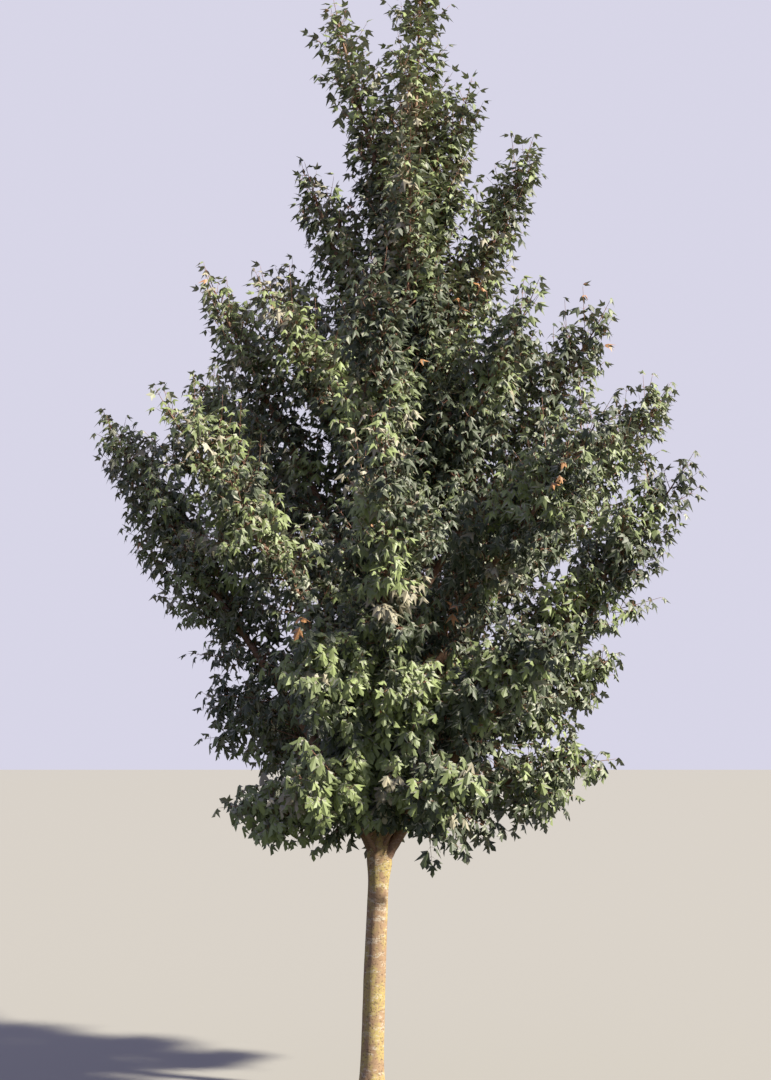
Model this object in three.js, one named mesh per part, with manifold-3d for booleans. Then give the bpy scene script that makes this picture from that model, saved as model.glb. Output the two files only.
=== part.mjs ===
// A young Freeman maple: one straight stem with a root flare, boughs that sweep up
// from it, and a leafy plume round the outer end of each bough.
// Millimetres, +Z up. The origin is the middle of the flat cut under the trunk, at
// ground level. Seen along +Y, +X is to the right.
import * as THREE from "three";
import { mergeVertices } from "three/addons/utils/BufferGeometryUtils.js";
import Module from "manifold-3d";

const wasm = await Module();
wasm.setup();

// Whole tree
const TREE_HEIGHT = 6400;
const TRUNK_TIP_HEIGHT = 5300;
const LEAN_DEG = 2.8;
const SWAY = 16; // how far the trunk wanders from its straight lean
const SWAY_HEIGHT = 900; // sets how soon it wanders back

// Trunk girth
const FOOT_RADIUS = 60;
const TIP_RADIUS = 9;
const TAPER_POWER = 1.25;
const FLARE_RADIUS = 27;
const FLARE_HEIGHT = 55;
const BUTTRESSES = 5;
const BUTTRESS_SHARE = 0.3;
const TRUNK_SIDES = 20;
const TRUNK_LEVELS = [0, 30, 75, 140, 240, 420, 700, 1050, 1500, 2000, 2600, 3300, 4100, 4800];

// Limbs: boughs and the stems of the plumes
const RADIUS_PER_LENGTH = 0.0098;
const LEAST_BASE_RADIUS = 12;
const LIMB_TIP_RADIUS = 6;
const COLLAR_SHARE = 0.3; // how much stouter a limb is where it leaves the trunk
const COLLAR_LENGTH = 0.06; // the collar's length, as a share of the limb
// A limb climbs beside the trunk, leans out, and turns up again at its tip. Two bends
// say so, each as a share of its reach and of its rise.
const FIRST_BEND = [0.27, 0.36];
const SECOND_BEND = [0.75, 0.68];
const BOUGH_SIDES = 6;
const BOUGH_STEPS = 4;
const STEM_SIDES = 4;
const STEM_STEPS = 3;
const JOINT_GAP = 0.3;

// Twigs and leaves
const TWIG_RADIUS = 5;
const LEAST_TWIG_RADIUS = 3;
const TWIG_TO_STEM = 0.4; // a twig's girth, as a share of its stem's
const NODE_SPACING = 117; // between the pairs of twigs on a stem
const PAIR_OFFSET = 14; // the two twigs of a pair leave this far apart
const TWIG_ANGLE_DEG = 56;
const ANGLE_SPREAD_DEG = 18;
const TURN_SPREAD = 0.7;
const TWIG_LIFT = 0.2; // how far a twig turns up towards the light
const TWIG_LENGTHS = [1, 0.6]; // long and short twigs take turns
const LEAST_TWIG = 45;
const LEAF_LENGTH = 300;
const LEAF_SIZES = [1, 0.84, 0.7]; // a leaf that doesn't fit is tried smaller
const LEAF_THICKNESS = 0.03; // share of its length
const TIP_ROOM = LEAST_TWIG + LEAF_LENGTH; // what a limb leaves for the leaf at its tip
const LOW_DROOP = 1.4; // how far leaves hang near the ground
const HIGH_DROOP = 0.55; // and at the top
const PLUME_TAPER = 0.5; // how much narrower a plume is at its tip
const PLUME_POWER = 2;
// A three-lobed blade: how far along its rib, and how far across it, the side lobes'
// tips and the notches between the lobes lie, as shares of its length.
const LOBE = [0.45, 0.5];
const NOTCH = [0.56, 0.18];
const RIDGE = 0.42; // where the blade is thickest
const NECK_SHARE = 0.8; // a twig's girth where its blade starts, as a share of its root's

// Clearances
const SAMPLE_STEP = 75; // between the points that say where a blade lies
const SPACE_OVERLAP = 40; // how far a leaf may reach into the next plume's space
const CLEARANCE = 3; // between a leaf and anything that isn't its own stem
const SEAM = 0.01; // corners this near to a flat face are smoothed away

// Each limb of the crown: the height at which it leaves the trunk, the direction it
// takes (0 is +X, 90 is +Y), how far out and how high the tip of its plume is, how far
// it arches above its straight way there, the share of it that is a bare bough, and
// the half width of its plume.
const LIMBS = [
  // low skirt
  { name: "low_front_left", from: 1165, toward: 240, reach: 900, top: 1600, arch: 150, bare: 0.36, spread: 370 },
  { name: "low_front_right", from: 1200, toward: 300, reach: 960, top: 1610, arch: 150, bare: 0.36, spread: 380 },
  { name: "low_right", from: 1235, toward: 12, reach: 1340, top: 1690, arch: 120, bare: 0.36, spread: 400 },
  { name: "low_left", from: 1270, toward: 208, reach: 930, top: 1440, arch: 100, bare: 0.34, spread: 380 },
  { name: "low_back", from: 1305, toward: 90, reach: 980, top: 1540, arch: 150, bare: 0.34, spread: 380 },
  // lower tier
  { name: "lower_right", from: 1410, toward: 22, reach: 1480, top: 2300, arch: 60, bare: 0.42, spread: 430 },
  { name: "lower_left", from: 1430, toward: 150, reach: 1220, top: 2080, arch: 60, bare: 0.4, spread: 420 },
  { name: "lower_front_left", from: 1500, toward: 250, reach: 1150, top: 2340, arch: 60, bare: 0.4, spread: 420 },
  { name: "lower_front_right", from: 1520, toward: 318, reach: 1200, top: 2340, arch: 60, bare: 0.4, spread: 420 },
  { name: "lower_back_left", from: 1590, toward: 112, reach: 1150, top: 2450, arch: 60, bare: 0.4, spread: 420 },
  { name: "lower_back_right", from: 1610, toward: 62, reach: 1200, top: 2420, arch: 60, bare: 0.4, spread: 420 },
  // long sweeping boughs
  { name: "sweep_right", from: 1120, toward: 346, reach: 1690, top: 3280, arch: 0, bare: 0.48, spread: 410 },
  { name: "sweep_left", from: 1150, toward: 174, reach: 1570, top: 3650, arch: 0, bare: 0.42, spread: 450 },
  { name: "sweep_front", from: 1690, toward: 270, reach: 1500, top: 3220, arch: 0, bare: 0.42, spread: 440 },
  { name: "sweep_back", from: 1720, toward: 90, reach: 1520, top: 3300, arch: 0, bare: 0.42, spread: 440 },
  { name: "sweep_outer_right", from: 1800, toward: 18, reach: 1760, top: 3890, arch: 0, bare: 0.44, spread: 420 },
  { name: "sweep_front_left", from: 1830, toward: 220, reach: 1480, top: 3480, arch: 0, bare: 0.42, spread: 440 },
  { name: "sweep_front_right", from: 1900, toward: 314, reach: 1540, top: 3400, arch: 0, bare: 0.42, spread: 440 },
  { name: "sweep_back_left", from: 1950, toward: 140, reach: 1570, top: 4060, arch: 0, bare: 0.42, spread: 440 },
  { name: "sweep_back_right", from: 2020, toward: 52, reach: 1540, top: 3500, arch: 0, bare: 0.42, spread: 440 },
  // upper tier
  { name: "upper_left", from: 2180, toward: 181, reach: 1040, top: 4400, arch: 0, bare: 0.36, spread: 430 },
  { name: "upper_right", from: 2260, toward: 354, reach: 1200, top: 4180, arch: 0, bare: 0.38, spread: 400 },
  { name: "upper_front", from: 2420, toward: 262, reach: 920, top: 4180, arch: 0, bare: 0.32, spread: 420 },
  { name: "upper_back", from: 2520, toward: 88, reach: 950, top: 4280, arch: 0, bare: 0, spread: 420 },
  { name: "upper_front_right", from: 2680, toward: 318, reach: 980, top: 4140, arch: 0, bare: 0, spread: 410 },
  { name: "upper_back_right", from: 2760, toward: 34, reach: 960, top: 4180, arch: 0, bare: 0, spread: 410 },
  { name: "upper_front_left", from: 2860, toward: 210, reach: 900, top: 4240, arch: 0, bare: 0, spread: 410 },
  { name: "upper_back_left", from: 2940, toward: 146, reach: 900, top: 4580, arch: 0, bare: 0, spread: 410 },
  // top tier
  { name: "top_right", from: 3260, toward: 2, reach: 740, top: 5180, arch: 0, bare: 0, spread: 390 },
  { name: "top_left", from: 3340, toward: 182, reach: 570, top: 5010, arch: 0, bare: 0, spread: 360 },
  { name: "top_front", from: 3460, toward: 272, reach: 540, top: 4980, arch: 0, bare: 0, spread: 320 },
  { name: "top_back", from: 3580, toward: 92, reach: 560, top: 5080, arch: 0, bare: 0, spread: 320 },
  // crest
  { name: "crest_left", from: 4120, toward: 188, reach: 440, top: 5950, arch: 0, bare: 0, spread: 240 },
  { name: "crest_right", from: 4200, toward: 350, reach: 360, top: 5480, arch: 0, bare: 0, spread: 270 },
  { name: "crest_back", from: 4330, toward: 84, reach: 340, top: 5700, arch: 0, bare: 0, spread: 260 },
];
const LEADER_SPREAD = 240;
const SHADED_SHARE = 0.28; // a limb that springs from the trunk has no twigs on this share

const BARK = { color: 0x8f7f5c, roughness: 0.9, metalness: 0 };
const YOUNG_BARK = { color: 0x7a6552, roughness: 0.8, metalness: 0 };
const LEAF_GREENS = [0x4c6b35, 0x567839, 0x43602f, 0x5f7f42];

// A repeatable stream of numbers from 0 to 1.
function randomFrom(seed) {
  let state = Math.imul(seed + 1, 2654435761) >>> 0;
  return () => {
    state = (Math.imul(state, 1664525) + 1013904223) >>> 0;
    return state / 4294967296;
  };
}

function trunkAxis(height) {
  const sway = Math.sin((height / SWAY_HEIGHT) * 1.3) * SWAY;
  const x = height * Math.tan(THREE.MathUtils.degToRad(LEAN_DEG)) - sway;
  const y = Math.sin(height / SWAY_HEIGHT) * SWAY;
  return new THREE.Vector3(x, y, height);
}

function trunkRadius(height) {
  const left = 1 - Math.pow(height / TRUNK_TIP_HEIGHT, TAPER_POWER);
  return TIP_RADIUS + (FOOT_RADIUS - TIP_RADIUS) * left;
}

// A closed geometry as a solid that can be joined and cut.
function solidOf(geometry) {
  geometry.deleteAttribute("normal");
  geometry.deleteAttribute("uv");
  const merged = mergeVertices(geometry, 1e-3);
  return new wasm.Manifold(
    new wasm.Mesh({
      numProp: 3,
      vertProperties: merged.attributes.position.array,
      triVerts: new Uint32Array(merged.index.array),
    }),
  );
}

function geometryOf(solid) {
  const mesh = solid.getMesh();
  const points = new THREE.BufferAttribute(new Float32Array(mesh.vertProperties), 3);
  const geometry = new THREE.BufferGeometry().setAttribute("position", points);
  geometry.setIndex(new THREE.BufferAttribute(new Uint32Array(mesh.triVerts), 1));
  geometry.computeVertexNormals();
  return geometry;
}

// The trunk has level rings, so its cut at the ground is flat. It is grown by a gap,
// up and out, when it is used to cut the limbs' feet.
function trunkSolid(grown) {
  const levels = [...TRUNK_LEVELS, TRUNK_TIP_HEIGHT];
  const shape = new THREE.CylinderGeometry(1, 1, 1, TRUNK_SIDES, levels.length - 1);
  const points = shape.attributes.position;
  for (let i = 0; i < points.count; i++) {
    const ring = Math.round((points.getY(i) + 0.5) * (levels.length - 1));
    const height = levels[ring] + (ring === levels.length - 1 ? grown : 0);
    const side = new THREE.Vector2(points.getX(i), -points.getZ(i));
    const flare = Math.exp(-height / FLARE_HEIGHT);
    const lobe = 1 + BUTTRESS_SHARE * Math.cos(BUTTRESSES * side.angle());
    const radius = trunkRadius(height) + FLARE_RADIUS * flare * lobe + grown;
    const middle = trunkAxis(height);
    points.setXYZ(i, middle.x + side.x * radius, middle.y + side.y * radius, height);
  }
  return solidOf(shape);
}

// A closed tapering tube along a curve.
function limbSolid(curve, radiusAt, sides, steps) {
  const shape = new THREE.CylinderGeometry(1, 1, 1, sides, steps);
  const frames = curve.computeFrenetFrames(steps, false);
  const points = shape.attributes.position;
  for (let i = 0; i < points.count; i++) {
    const step = Math.round((points.getY(i) + 0.5) * steps);
    const share = step / steps;
    const radius = radiusAt(share);
    const place = curve
      .getPointAt(share)
      .addScaledVector(frames.normals[step], points.getX(i) * radius)
      .addScaledVector(frames.binormals[step], -points.getZ(i) * radius);
    points.setXYZ(i, place.x, place.y, place.z);
  }
  return solidOf(shape);
}

// The stretch of a limb between two shares of its whole length.
class Stretch extends THREE.Curve {
  constructor(whole, start, end) {
    super();
    this.whole = whole;
    this.start = start;
    this.end = end;
  }
  getPoint(share, target = new THREE.Vector3()) {
    const along = this.start + (this.end - this.start) * share;
    return target.copy(this.whole.getPoint(along));
  }
}

function limbPath({ from, toward, reach, top, arch }) {
  const root = trunkAxis(from);
  const heading = THREE.MathUtils.degToRad(toward);
  const out = new THREE.Vector3(Math.cos(heading), Math.sin(heading), 0);
  const place = ([outShare, upShare], lift) => {
    const point = root.clone().addScaledVector(out, reach * outShare);
    point.z += (top - from) * upShare + lift;
    return point;
  };
  const bends = [place(FIRST_BEND, arch), place(SECOND_BEND, arch)];
  return new THREE.CubicBezierCurve3(root, ...bends, place([1, 1], 0));
}

// Everything that the growth of one plume needs to know about its limb.
function describeLimb(row, index) {
  const whole = limbPath(row);
  const length = whole.getLength();
  const base = Math.max(LEAST_BASE_RADIUS, length * RADIUS_PER_LENGTH);
  const radiusAt = (along) => {
    const collar = 1 + COLLAR_SHARE * Math.exp(-along / COLLAR_LENGTH);
    return LIMB_TIP_RADIUS + (base - LIMB_TIP_RADIUS) * (1 - along) * collar;
  };
  const gap = row.bare > 0 ? JOINT_GAP / length : 0;
  const stem = new Stretch(whole, row.bare + gap, 1 - TIP_ROOM / length);
  const leafless = row.bare > 0 ? 0 : SHADED_SHARE;
  return { ...row, seed: index, whole, radiusAt, stem, leafless };
}

function describeLeader() {
  const root = trunkAxis(TRUNK_TIP_HEIGHT);
  const heading = root.clone().sub(trunkAxis(TRUNK_LEVELS.at(-1))).normalize();
  const rise = TREE_HEIGHT - TRUNK_TIP_HEIGHT - TIP_ROOM;
  const whole = new THREE.LineCurve3(root, root.clone().addScaledVector(heading, rise));
  const radiusAt = (along) => TIP_RADIUS + (LIMB_TIP_RADIUS - TIP_RADIUS) * along;
  return {
    name: "leader",
    spread: LEADER_SPREAD,
    bare: 0,
    seed: LIMBS.length,
    whole,
    radiusAt,
    stem: whole,
    leafless: 0,
  };
}

// Distance from a point to a row of points joined by straight lines.
function distanceTo(line, point) {
  let best = Infinity;
  const along = new THREE.Vector3();
  const reach = new THREE.Vector3();
  for (let i = 0; i + 1 < line.length; i++) {
    along.subVectors(line[i + 1], line[i]);
    reach.subVectors(point, line[i]);
    const t = THREE.MathUtils.clamp(reach.dot(along) / along.lengthSq(), 0, 1);
    best = Math.min(best, reach.addScaledVector(along, -t).length());
  }
  return best;
}

// Two directions square to a third, the first of them level.
function crosswise(along) {
  const up = Math.abs(along.z) > 0.98 ? new THREE.Vector3(1, 0, 0) : new THREE.Vector3(0, 0, 1);
  const level = new THREE.Vector3().crossVectors(along, up).normalize();
  return [level, new THREE.Vector3().crossVectors(level, along).normalize()];
}

const limbs = [...LIMBS.map(describeLimb), describeLeader()];
for (const limb of limbs) {
  limb.knots = [];
  for (let i = 0; i <= STEM_STEPS; i++) limb.knots.push(limb.stem.getPointAt(i / STEM_STEPS));
}

// A place on a stem's middle line and the line's direction there.
function onStem(limb, share) {
  const step = Math.min(Math.floor(share * STEM_STEPS), STEM_STEPS - 1);
  const [start, end] = [limb.knots[step], limb.knots[step + 1]];
  return {
    at: start.clone().lerp(end, share * STEM_STEPS - step),
    along: end.clone().sub(start).normalize(),
  };
}

// Whether points lie in a limb's own space: nearer its plume than any other plume,
// with the plumes' widths allowed for.
function inOwnSpace(own, points) {
  return points.every((point) => {
    const mine = distanceTo(own.knots, point) - own.spread;
    return limbs.every((other) => {
      if (other === own) return true;
      return distanceTo(other.knots, point) - other.spread > mine - 2 * SPACE_OVERLAP;
    });
  });
}

// What already stands in the crown: each thing is a solid and the limb that it
// belongs to. A leafy twig may touch its own stem and nothing else.
class Crown {
  constructor() {
    this.things = [];
  }

  add(solid, owner) {
    this.things.push({ solid, owner, box: solid.boundingBox() });
  }

  hasRoomFor(solid, owner) {
    const box = solid.boundingBox();
    const apart = (other) =>
      [0, 1, 2].some(
        (i) => box.min[i] - CLEARANCE > other.max[i] || box.max[i] + CLEARANCE < other.min[i],
      );
    return this.things.every((thing) => {
      if (thing.owner === owner || apart(thing.box)) return true;
      return solid.minGap(thing.solid, CLEARANCE) >= CLEARANCE;
    });
  }
}

// A three-sided twig that runs into its leaf's blade. The blade is flat below and has
// a low ridge above.
function leafyTwigSolid(root, neck, rib, face, length, radius) {
  const along = neck.clone().sub(root).normalize();
  const across = new THREE.Vector3().crossVectors(face, rib).normalize();
  const up = new THREE.Vector3().crossVectors(rib, across).normalize();
  const side = across.clone().addScaledVector(along, -across.dot(along)).normalize();
  const top = new THREE.Vector3().crossVectors(along, side).normalize();
  const ring = (middle, size) =>
    [0, 1, 2].map((corner) => {
      const turn = (corner * 2 * Math.PI) / 3;
      const place = middle.clone().addScaledVector(side, Math.sin(turn) * size);
      return place.addScaledVector(top, Math.cos(turn) * size);
    });
  const blade = ([u, v], lift) =>
    neck
      .clone()
      .addScaledVector(rib, u * length)
      .addScaledVector(across, v * length)
      .addScaledVector(up, lift);
  const corners = [
    ...ring(root, radius),
    ...ring(neck, radius * NECK_SHARE),
    blade(LOBE, 0),
    blade(NOTCH, 0),
    blade([1, 0], 0),
    blade([NOTCH[0], -NOTCH[1]], 0),
    blade([LOBE[0], -LOBE[1]], 0),
    blade([RIDGE, 0], LEAF_THICKNESS * length),
  ];
  const faces = [
    [0, 1, 2],
    [0, 4, 1], [0, 3, 4],
    [1, 5, 2], [1, 4, 5],
    [2, 3, 0], [2, 5, 3],
    [11, 4, 3], [11, 6, 4], [11, 7, 6], [11, 8, 7],
    [11, 9, 8], [11, 10, 9], [11, 5, 10], [11, 3, 5],
    [4, 9, 5], [4, 7, 9], [7, 8, 9], [4, 6, 7], [5, 9, 10],
  ];
  const geometry = new THREE.BufferGeometry().setFromPoints(corners);
  geometry.setIndex(faces.flat());
  return solidOf(geometry);
}

// Points spread evenly over a leaf's blade, which test where it lies.
function leafSamples(neck, rib, face, length) {
  const across = new THREE.Vector3().crossVectors(face, rib).normalize();
  const samples = [];
  const rows = Math.ceil(length / SAMPLE_STEP);
  for (let i = 0; i <= rows; i++) {
    const u = i / rows;
    const full = u < LOBE[0] ? (u / LOBE[0]) * LOBE[1] : (LOBE[1] * (1 - u)) / (1 - LOBE[0]);
    const columns = Math.ceil((full * length) / SAMPLE_STEP);
    for (let j = -columns; j <= columns; j++) {
      const v = (j / Math.max(1, columns)) * full;
      const place = neck.clone().addScaledVector(rib, u * length);
      samples.push(place.addScaledVector(across, v * length));
    }
  }
  return samples;
}

// Grows twigs with a leaf at the end of each round one limb's stem, and keeps those
// that fit.
class Plume {
  constructor(limb, crown) {
    this.limb = limb;
    this.crown = crown;
    this.pieces = [];
  }

  // One leafy twig. Its leaf's tip lies `full` along its heading, or further where the
  // smallest leaf needs it.
  addLeafyTwig(root, heading, full, face, radius) {
    const rib = heading.clone();
    const low = 1 - root.z / TREE_HEIGHT;
    const upright = Math.max(0, heading.z);
    rib.z -= THREE.MathUtils.lerp(HIGH_DROOP, LOW_DROOP, low) * (1 - upright * upright);
    rib.normalize();
    for (const size of LEAF_SIZES) {
      const length = LEAF_LENGTH * size;
      const reach = Math.max(LEAST_TWIG, full - length);
      const neck = root.clone().addScaledVector(heading, reach);
      const samples = leafSamples(neck, rib, face, length);
      if (samples.some((p) => p.z > TREE_HEIGHT)) continue;
      if (!inOwnSpace(this.limb, samples)) continue;
      const piece = leafyTwigSolid(root, neck, rib, face, length, radius);
      if (!this.crown.hasRoomFor(piece, this.limb)) continue;
      this.crown.add(piece, null);
      this.pieces.push(piece);
      return;
    }
  }
}

// One plume: opposite pairs of twigs, each pair a quarter turn round from the last,
// and three leaves at the stem's own tip.
function growPlume(limb, crown) {
  const random = randomFrom(limb.seed);
  const plume = new Plume(limb, crown);
  const stemLength = limb.stem.getLength();
  const shaded = limb.leafless;
  const nodes = Math.round((stemLength * (1 - shaded)) / NODE_SPACING);
  const firstTurn = random() * Math.PI;
  for (let k = 0; k < nodes; k++) {
    for (let side = 0; side < 2; side++) {
      const pair = (side * PAIR_OFFSET) / stemLength;
      const share = shaded + ((k + 0.35) / nodes) * (1 - shaded) + pair;
      const { at, along } = onStem(limb, share);
      const [level, rise] = crosswise(along);
      const half = limb.spread * (1 - PLUME_TAPER * Math.pow(share, PLUME_POWER));
      const stemRadius = limb.radiusAt(limb.bare + (1 - limb.bare) * share);
      const radius = THREE.MathUtils.clamp(stemRadius * TWIG_TO_STEM, LEAST_TWIG_RADIUS, TWIG_RADIUS);
      const turn = firstTurn + (k * Math.PI) / 2 + side * Math.PI + (random() - 0.5) * TURN_SPREAD;
      const angle = THREE.MathUtils.degToRad(TWIG_ANGLE_DEG + (random() - 0.5) * ANGLE_SPREAD_DEG);
      const stretch = 0.85 + 0.3 * random();
      const lean = random() - 0.5;
      const heading = new THREE.Vector3()
        .addScaledVector(along, Math.cos(angle))
        .addScaledVector(level, Math.sin(angle) * Math.cos(turn))
        .addScaledVector(rise, Math.sin(angle) * Math.sin(turn));
      heading.z += TWIG_LIFT;
      heading.normalize();
      const full = (half / Math.sin(angle)) * stretch * TWIG_LENGTHS[(k + side) % 2];
      const face = new THREE.Vector3(heading.x * 0.5, heading.y * 0.5, 1);
      face.addScaledVector(level, lean);
      plume.addLeafyTwig(at, heading, full, face, radius);
    }
  }
  const { along } = onStem(limb, 1);
  const [level, rise] = crosswise(along);
  for (const hand of [-1, 1]) {
    const { at } = onStem(limb, 0.95 + (hand * PAIR_OFFSET) / 2 / stemLength);
    const beside = along.clone().multiplyScalar(0.6).addScaledVector(level, hand).normalize();
    plume.addLeafyTwig(at, beside, LEAF_LENGTH, rise, LEAST_TWIG_RADIUS);
  }
  const { at } = onStem(limb, 0.98);
  const tipFace = rise.clone().addScaledVector(level, random() - 0.5);
  plume.addLeafyTwig(at, along, LEAF_LENGTH, tipFace, LEAST_TWIG_RADIUS);
  return plume.pieces;
}

const trunk = trunkSolid(0);
const trunkCutter = trunkSolid(JOINT_GAP);
const tree = new THREE.Group();

function addNode(name, solid, finish) {
  const mesh = new THREE.Mesh(geometryOf(solid), new THREE.MeshStandardMaterial(finish));
  mesh.name = name;
  tree.add(mesh);
}

// All the wood stands before the first leaf grows.
const crown = new Crown();
crown.add(trunk, null);
addNode("trunk", trunk, BARK);
for (const limb of limbs) {
  const girth = (share) => limb.radiusAt(limb.bare + (1 - limb.bare) * share);
  limb.stemSolid = limbSolid(limb.stem, girth, STEM_SIDES, STEM_STEPS);
  if (limb.bare > 0) {
    const bare = new Stretch(limb.whole, 0, limb.bare);
    const boughGirth = (share) => limb.radiusAt(share * limb.bare);
    const bough = limbSolid(bare, boughGirth, BOUGH_SIDES, BOUGH_STEPS).subtract(trunkCutter);
    crown.add(bough, null);
    addNode("bough_" + limb.name, bough, YOUNG_BARK);
  } else {
    limb.stemSolid = limb.stemSolid.subtract(trunkCutter);
  }
  crown.add(limb.stemSolid, limb);
}
for (const limb of limbs) {
  const pieces = growPlume(limb, crown);
  let solid = limb.stemSolid;
  for (const piece of pieces) solid = solid.add(piece);
  solid = solid.asOriginal().simplify(SEAM);
  const green = LEAF_GREENS[limb.seed % LEAF_GREENS.length];
  addNode("leaves_" + limb.name, solid, { color: green, roughness: 0.6, metalness: 0 });
}

export default tree;
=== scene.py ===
# %% [markdown]
# A young maple in full leaf, about 6.4 m tall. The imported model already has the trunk,
# the boughs and a few hundred oversized leaves as solids. This lesson dresses it: lobed
# leaves of real size on branching twigs, bark with relief, light, floor and camera.
# Everything is in metres, +Z is up, and the origin is where the trunk meets the ground.

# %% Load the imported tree
import math
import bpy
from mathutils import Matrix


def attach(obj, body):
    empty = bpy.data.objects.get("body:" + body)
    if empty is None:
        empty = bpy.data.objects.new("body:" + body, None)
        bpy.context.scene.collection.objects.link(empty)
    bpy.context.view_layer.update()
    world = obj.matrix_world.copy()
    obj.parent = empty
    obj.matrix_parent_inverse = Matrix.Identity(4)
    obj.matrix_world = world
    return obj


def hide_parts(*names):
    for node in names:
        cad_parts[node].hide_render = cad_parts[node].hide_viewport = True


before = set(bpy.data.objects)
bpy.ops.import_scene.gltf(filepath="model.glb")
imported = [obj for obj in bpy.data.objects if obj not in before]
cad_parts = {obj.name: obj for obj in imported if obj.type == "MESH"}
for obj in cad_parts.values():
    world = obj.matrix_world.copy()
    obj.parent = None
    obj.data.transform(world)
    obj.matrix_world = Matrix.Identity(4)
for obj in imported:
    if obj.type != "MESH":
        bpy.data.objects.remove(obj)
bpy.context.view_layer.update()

from types import SimpleNamespace

import bpy
import numpy as np
from mathutils import Vector, noise

UP = np.array([0.0, 0.0, 1.0])
print("solids in the frame:", len(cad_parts))

# %% [markdown]
# The view is from about 8 m away at standing eye height, tilted a little upwards, so
# that the crown nearly fills the frame and its top is cut off. A 50 mm lens on a frame
# 36 mm tall has the photograph's angle of view. The tilt is what makes the top of the
# tree look narrower, so the camera has to match before any shape can be judged.

# %% Camera
EYE_HEIGHT = 1.66
CAMERA_DISTANCE = 7.95
CAMERA_SIDE = 0.072
CAMERA_TILT_DEG = 8.5

camera_data = bpy.data.cameras.new("photo_camera")
camera_data.lens = 50.0
camera_data.sensor_width = 36.0
camera = bpy.data.objects.new("photo_camera", camera_data)
camera.location = (CAMERA_SIDE, -CAMERA_DISTANCE, EYE_HEIGHT)
camera.rotation_euler = (math.radians(90 + CAMERA_TILT_DEG), 0, 0)
bpy.context.scene.collection.objects.link(camera)
bpy.context.scene.camera = camera
print("camera at", [round(v, 2) for v in camera.location])

# %% [markdown]
# A tree looks random, but it follows rules, and a rule with a seed gives the same tree
# every time. Python has its own random numbers, but this small generator is the one
# that grew the solids, so the twigs here leave the boughs in the same places and
# directions as theirs.


# %% Repeatable chance
def random_from(seed):
    """A stream of numbers from 0 to 1 that is the same on every run."""
    state = ((seed + 1) * 2654435761) % 2**32

    def draw():
        nonlocal state
        state = (state * 1664525 + 1013904223) % 2**32
        return state / 2**32

    return draw


def unit(vectors):
    """The same directions with length one."""
    return vectors / np.maximum(np.linalg.norm(vectors, axis=-1, keepdims=True), 1e-12)


def mix(a, b, share):
    """What lies between two values, at the given share of the way."""
    return a + (b - a) * share


print("first draw of seed 0:", round(random_from(0)(), 6))

# %% [markdown]
# The trunk is one leader that leans slightly to the right, thickens towards a shallow
# root flare and runs up through the crown. It could be drawn as a curve by hand. Here
# its middle line and its girth are two formulas, so that every later step can ask where
# the trunk is at any height.

# %% Sizes of the trunk
TREE_HEIGHT = 6.4
TRUNK_TIP_HEIGHT = 5.3
LAST_TRUNK_RING = 4.8
LEAN_DEG = 2.8
SWAY = 0.016
SWAY_HEIGHT = 0.9
SIDE_SWAY_RATE = 1.3
FOOT_RADIUS = 0.060
TIP_RADIUS = 0.009
TAPER_POWER = 1.25
FLARE_RADIUS = 0.027
FLARE_HEIGHT = 0.055
BUTTRESSES = 5
BUTTRESS_SHARE = 0.3


def trunk_axis(height):
    """The middle of the trunk at a height, or at each of many heights."""
    height = np.asarray(height, dtype=float)
    sway = np.sin(height / SWAY_HEIGHT * SIDE_SWAY_RATE) * SWAY
    x = height * math.tan(math.radians(LEAN_DEG)) - sway
    y = np.sin(height / SWAY_HEIGHT) * SWAY
    return np.stack([x, y, height], axis=-1)


def trunk_radius(height):
    """Half the trunk's thickness without its root flare."""
    left = 1 - np.power(np.clip(height / TRUNK_TIP_HEIGHT, 0, 1), TAPER_POWER)
    return TIP_RADIUS + (FOOT_RADIUS - TIP_RADIUS) * left


print("trunk at 0.5 m:", round(2000 * float(trunk_radius(0.5))), "mm thick")

# %% [markdown]
# Each limb of the crown is one line of sizes: the height at which it leaves the trunk,
# its heading (0 is to the right, 90 is away from us), how far out and how high the tip
# of its plume is, how far it arches, which share of it is a bare bough, and the half
# width of the leafy plume around the rest. The outline of the crown comes from here, and
# the solids were grown from the same numbers.

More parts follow.
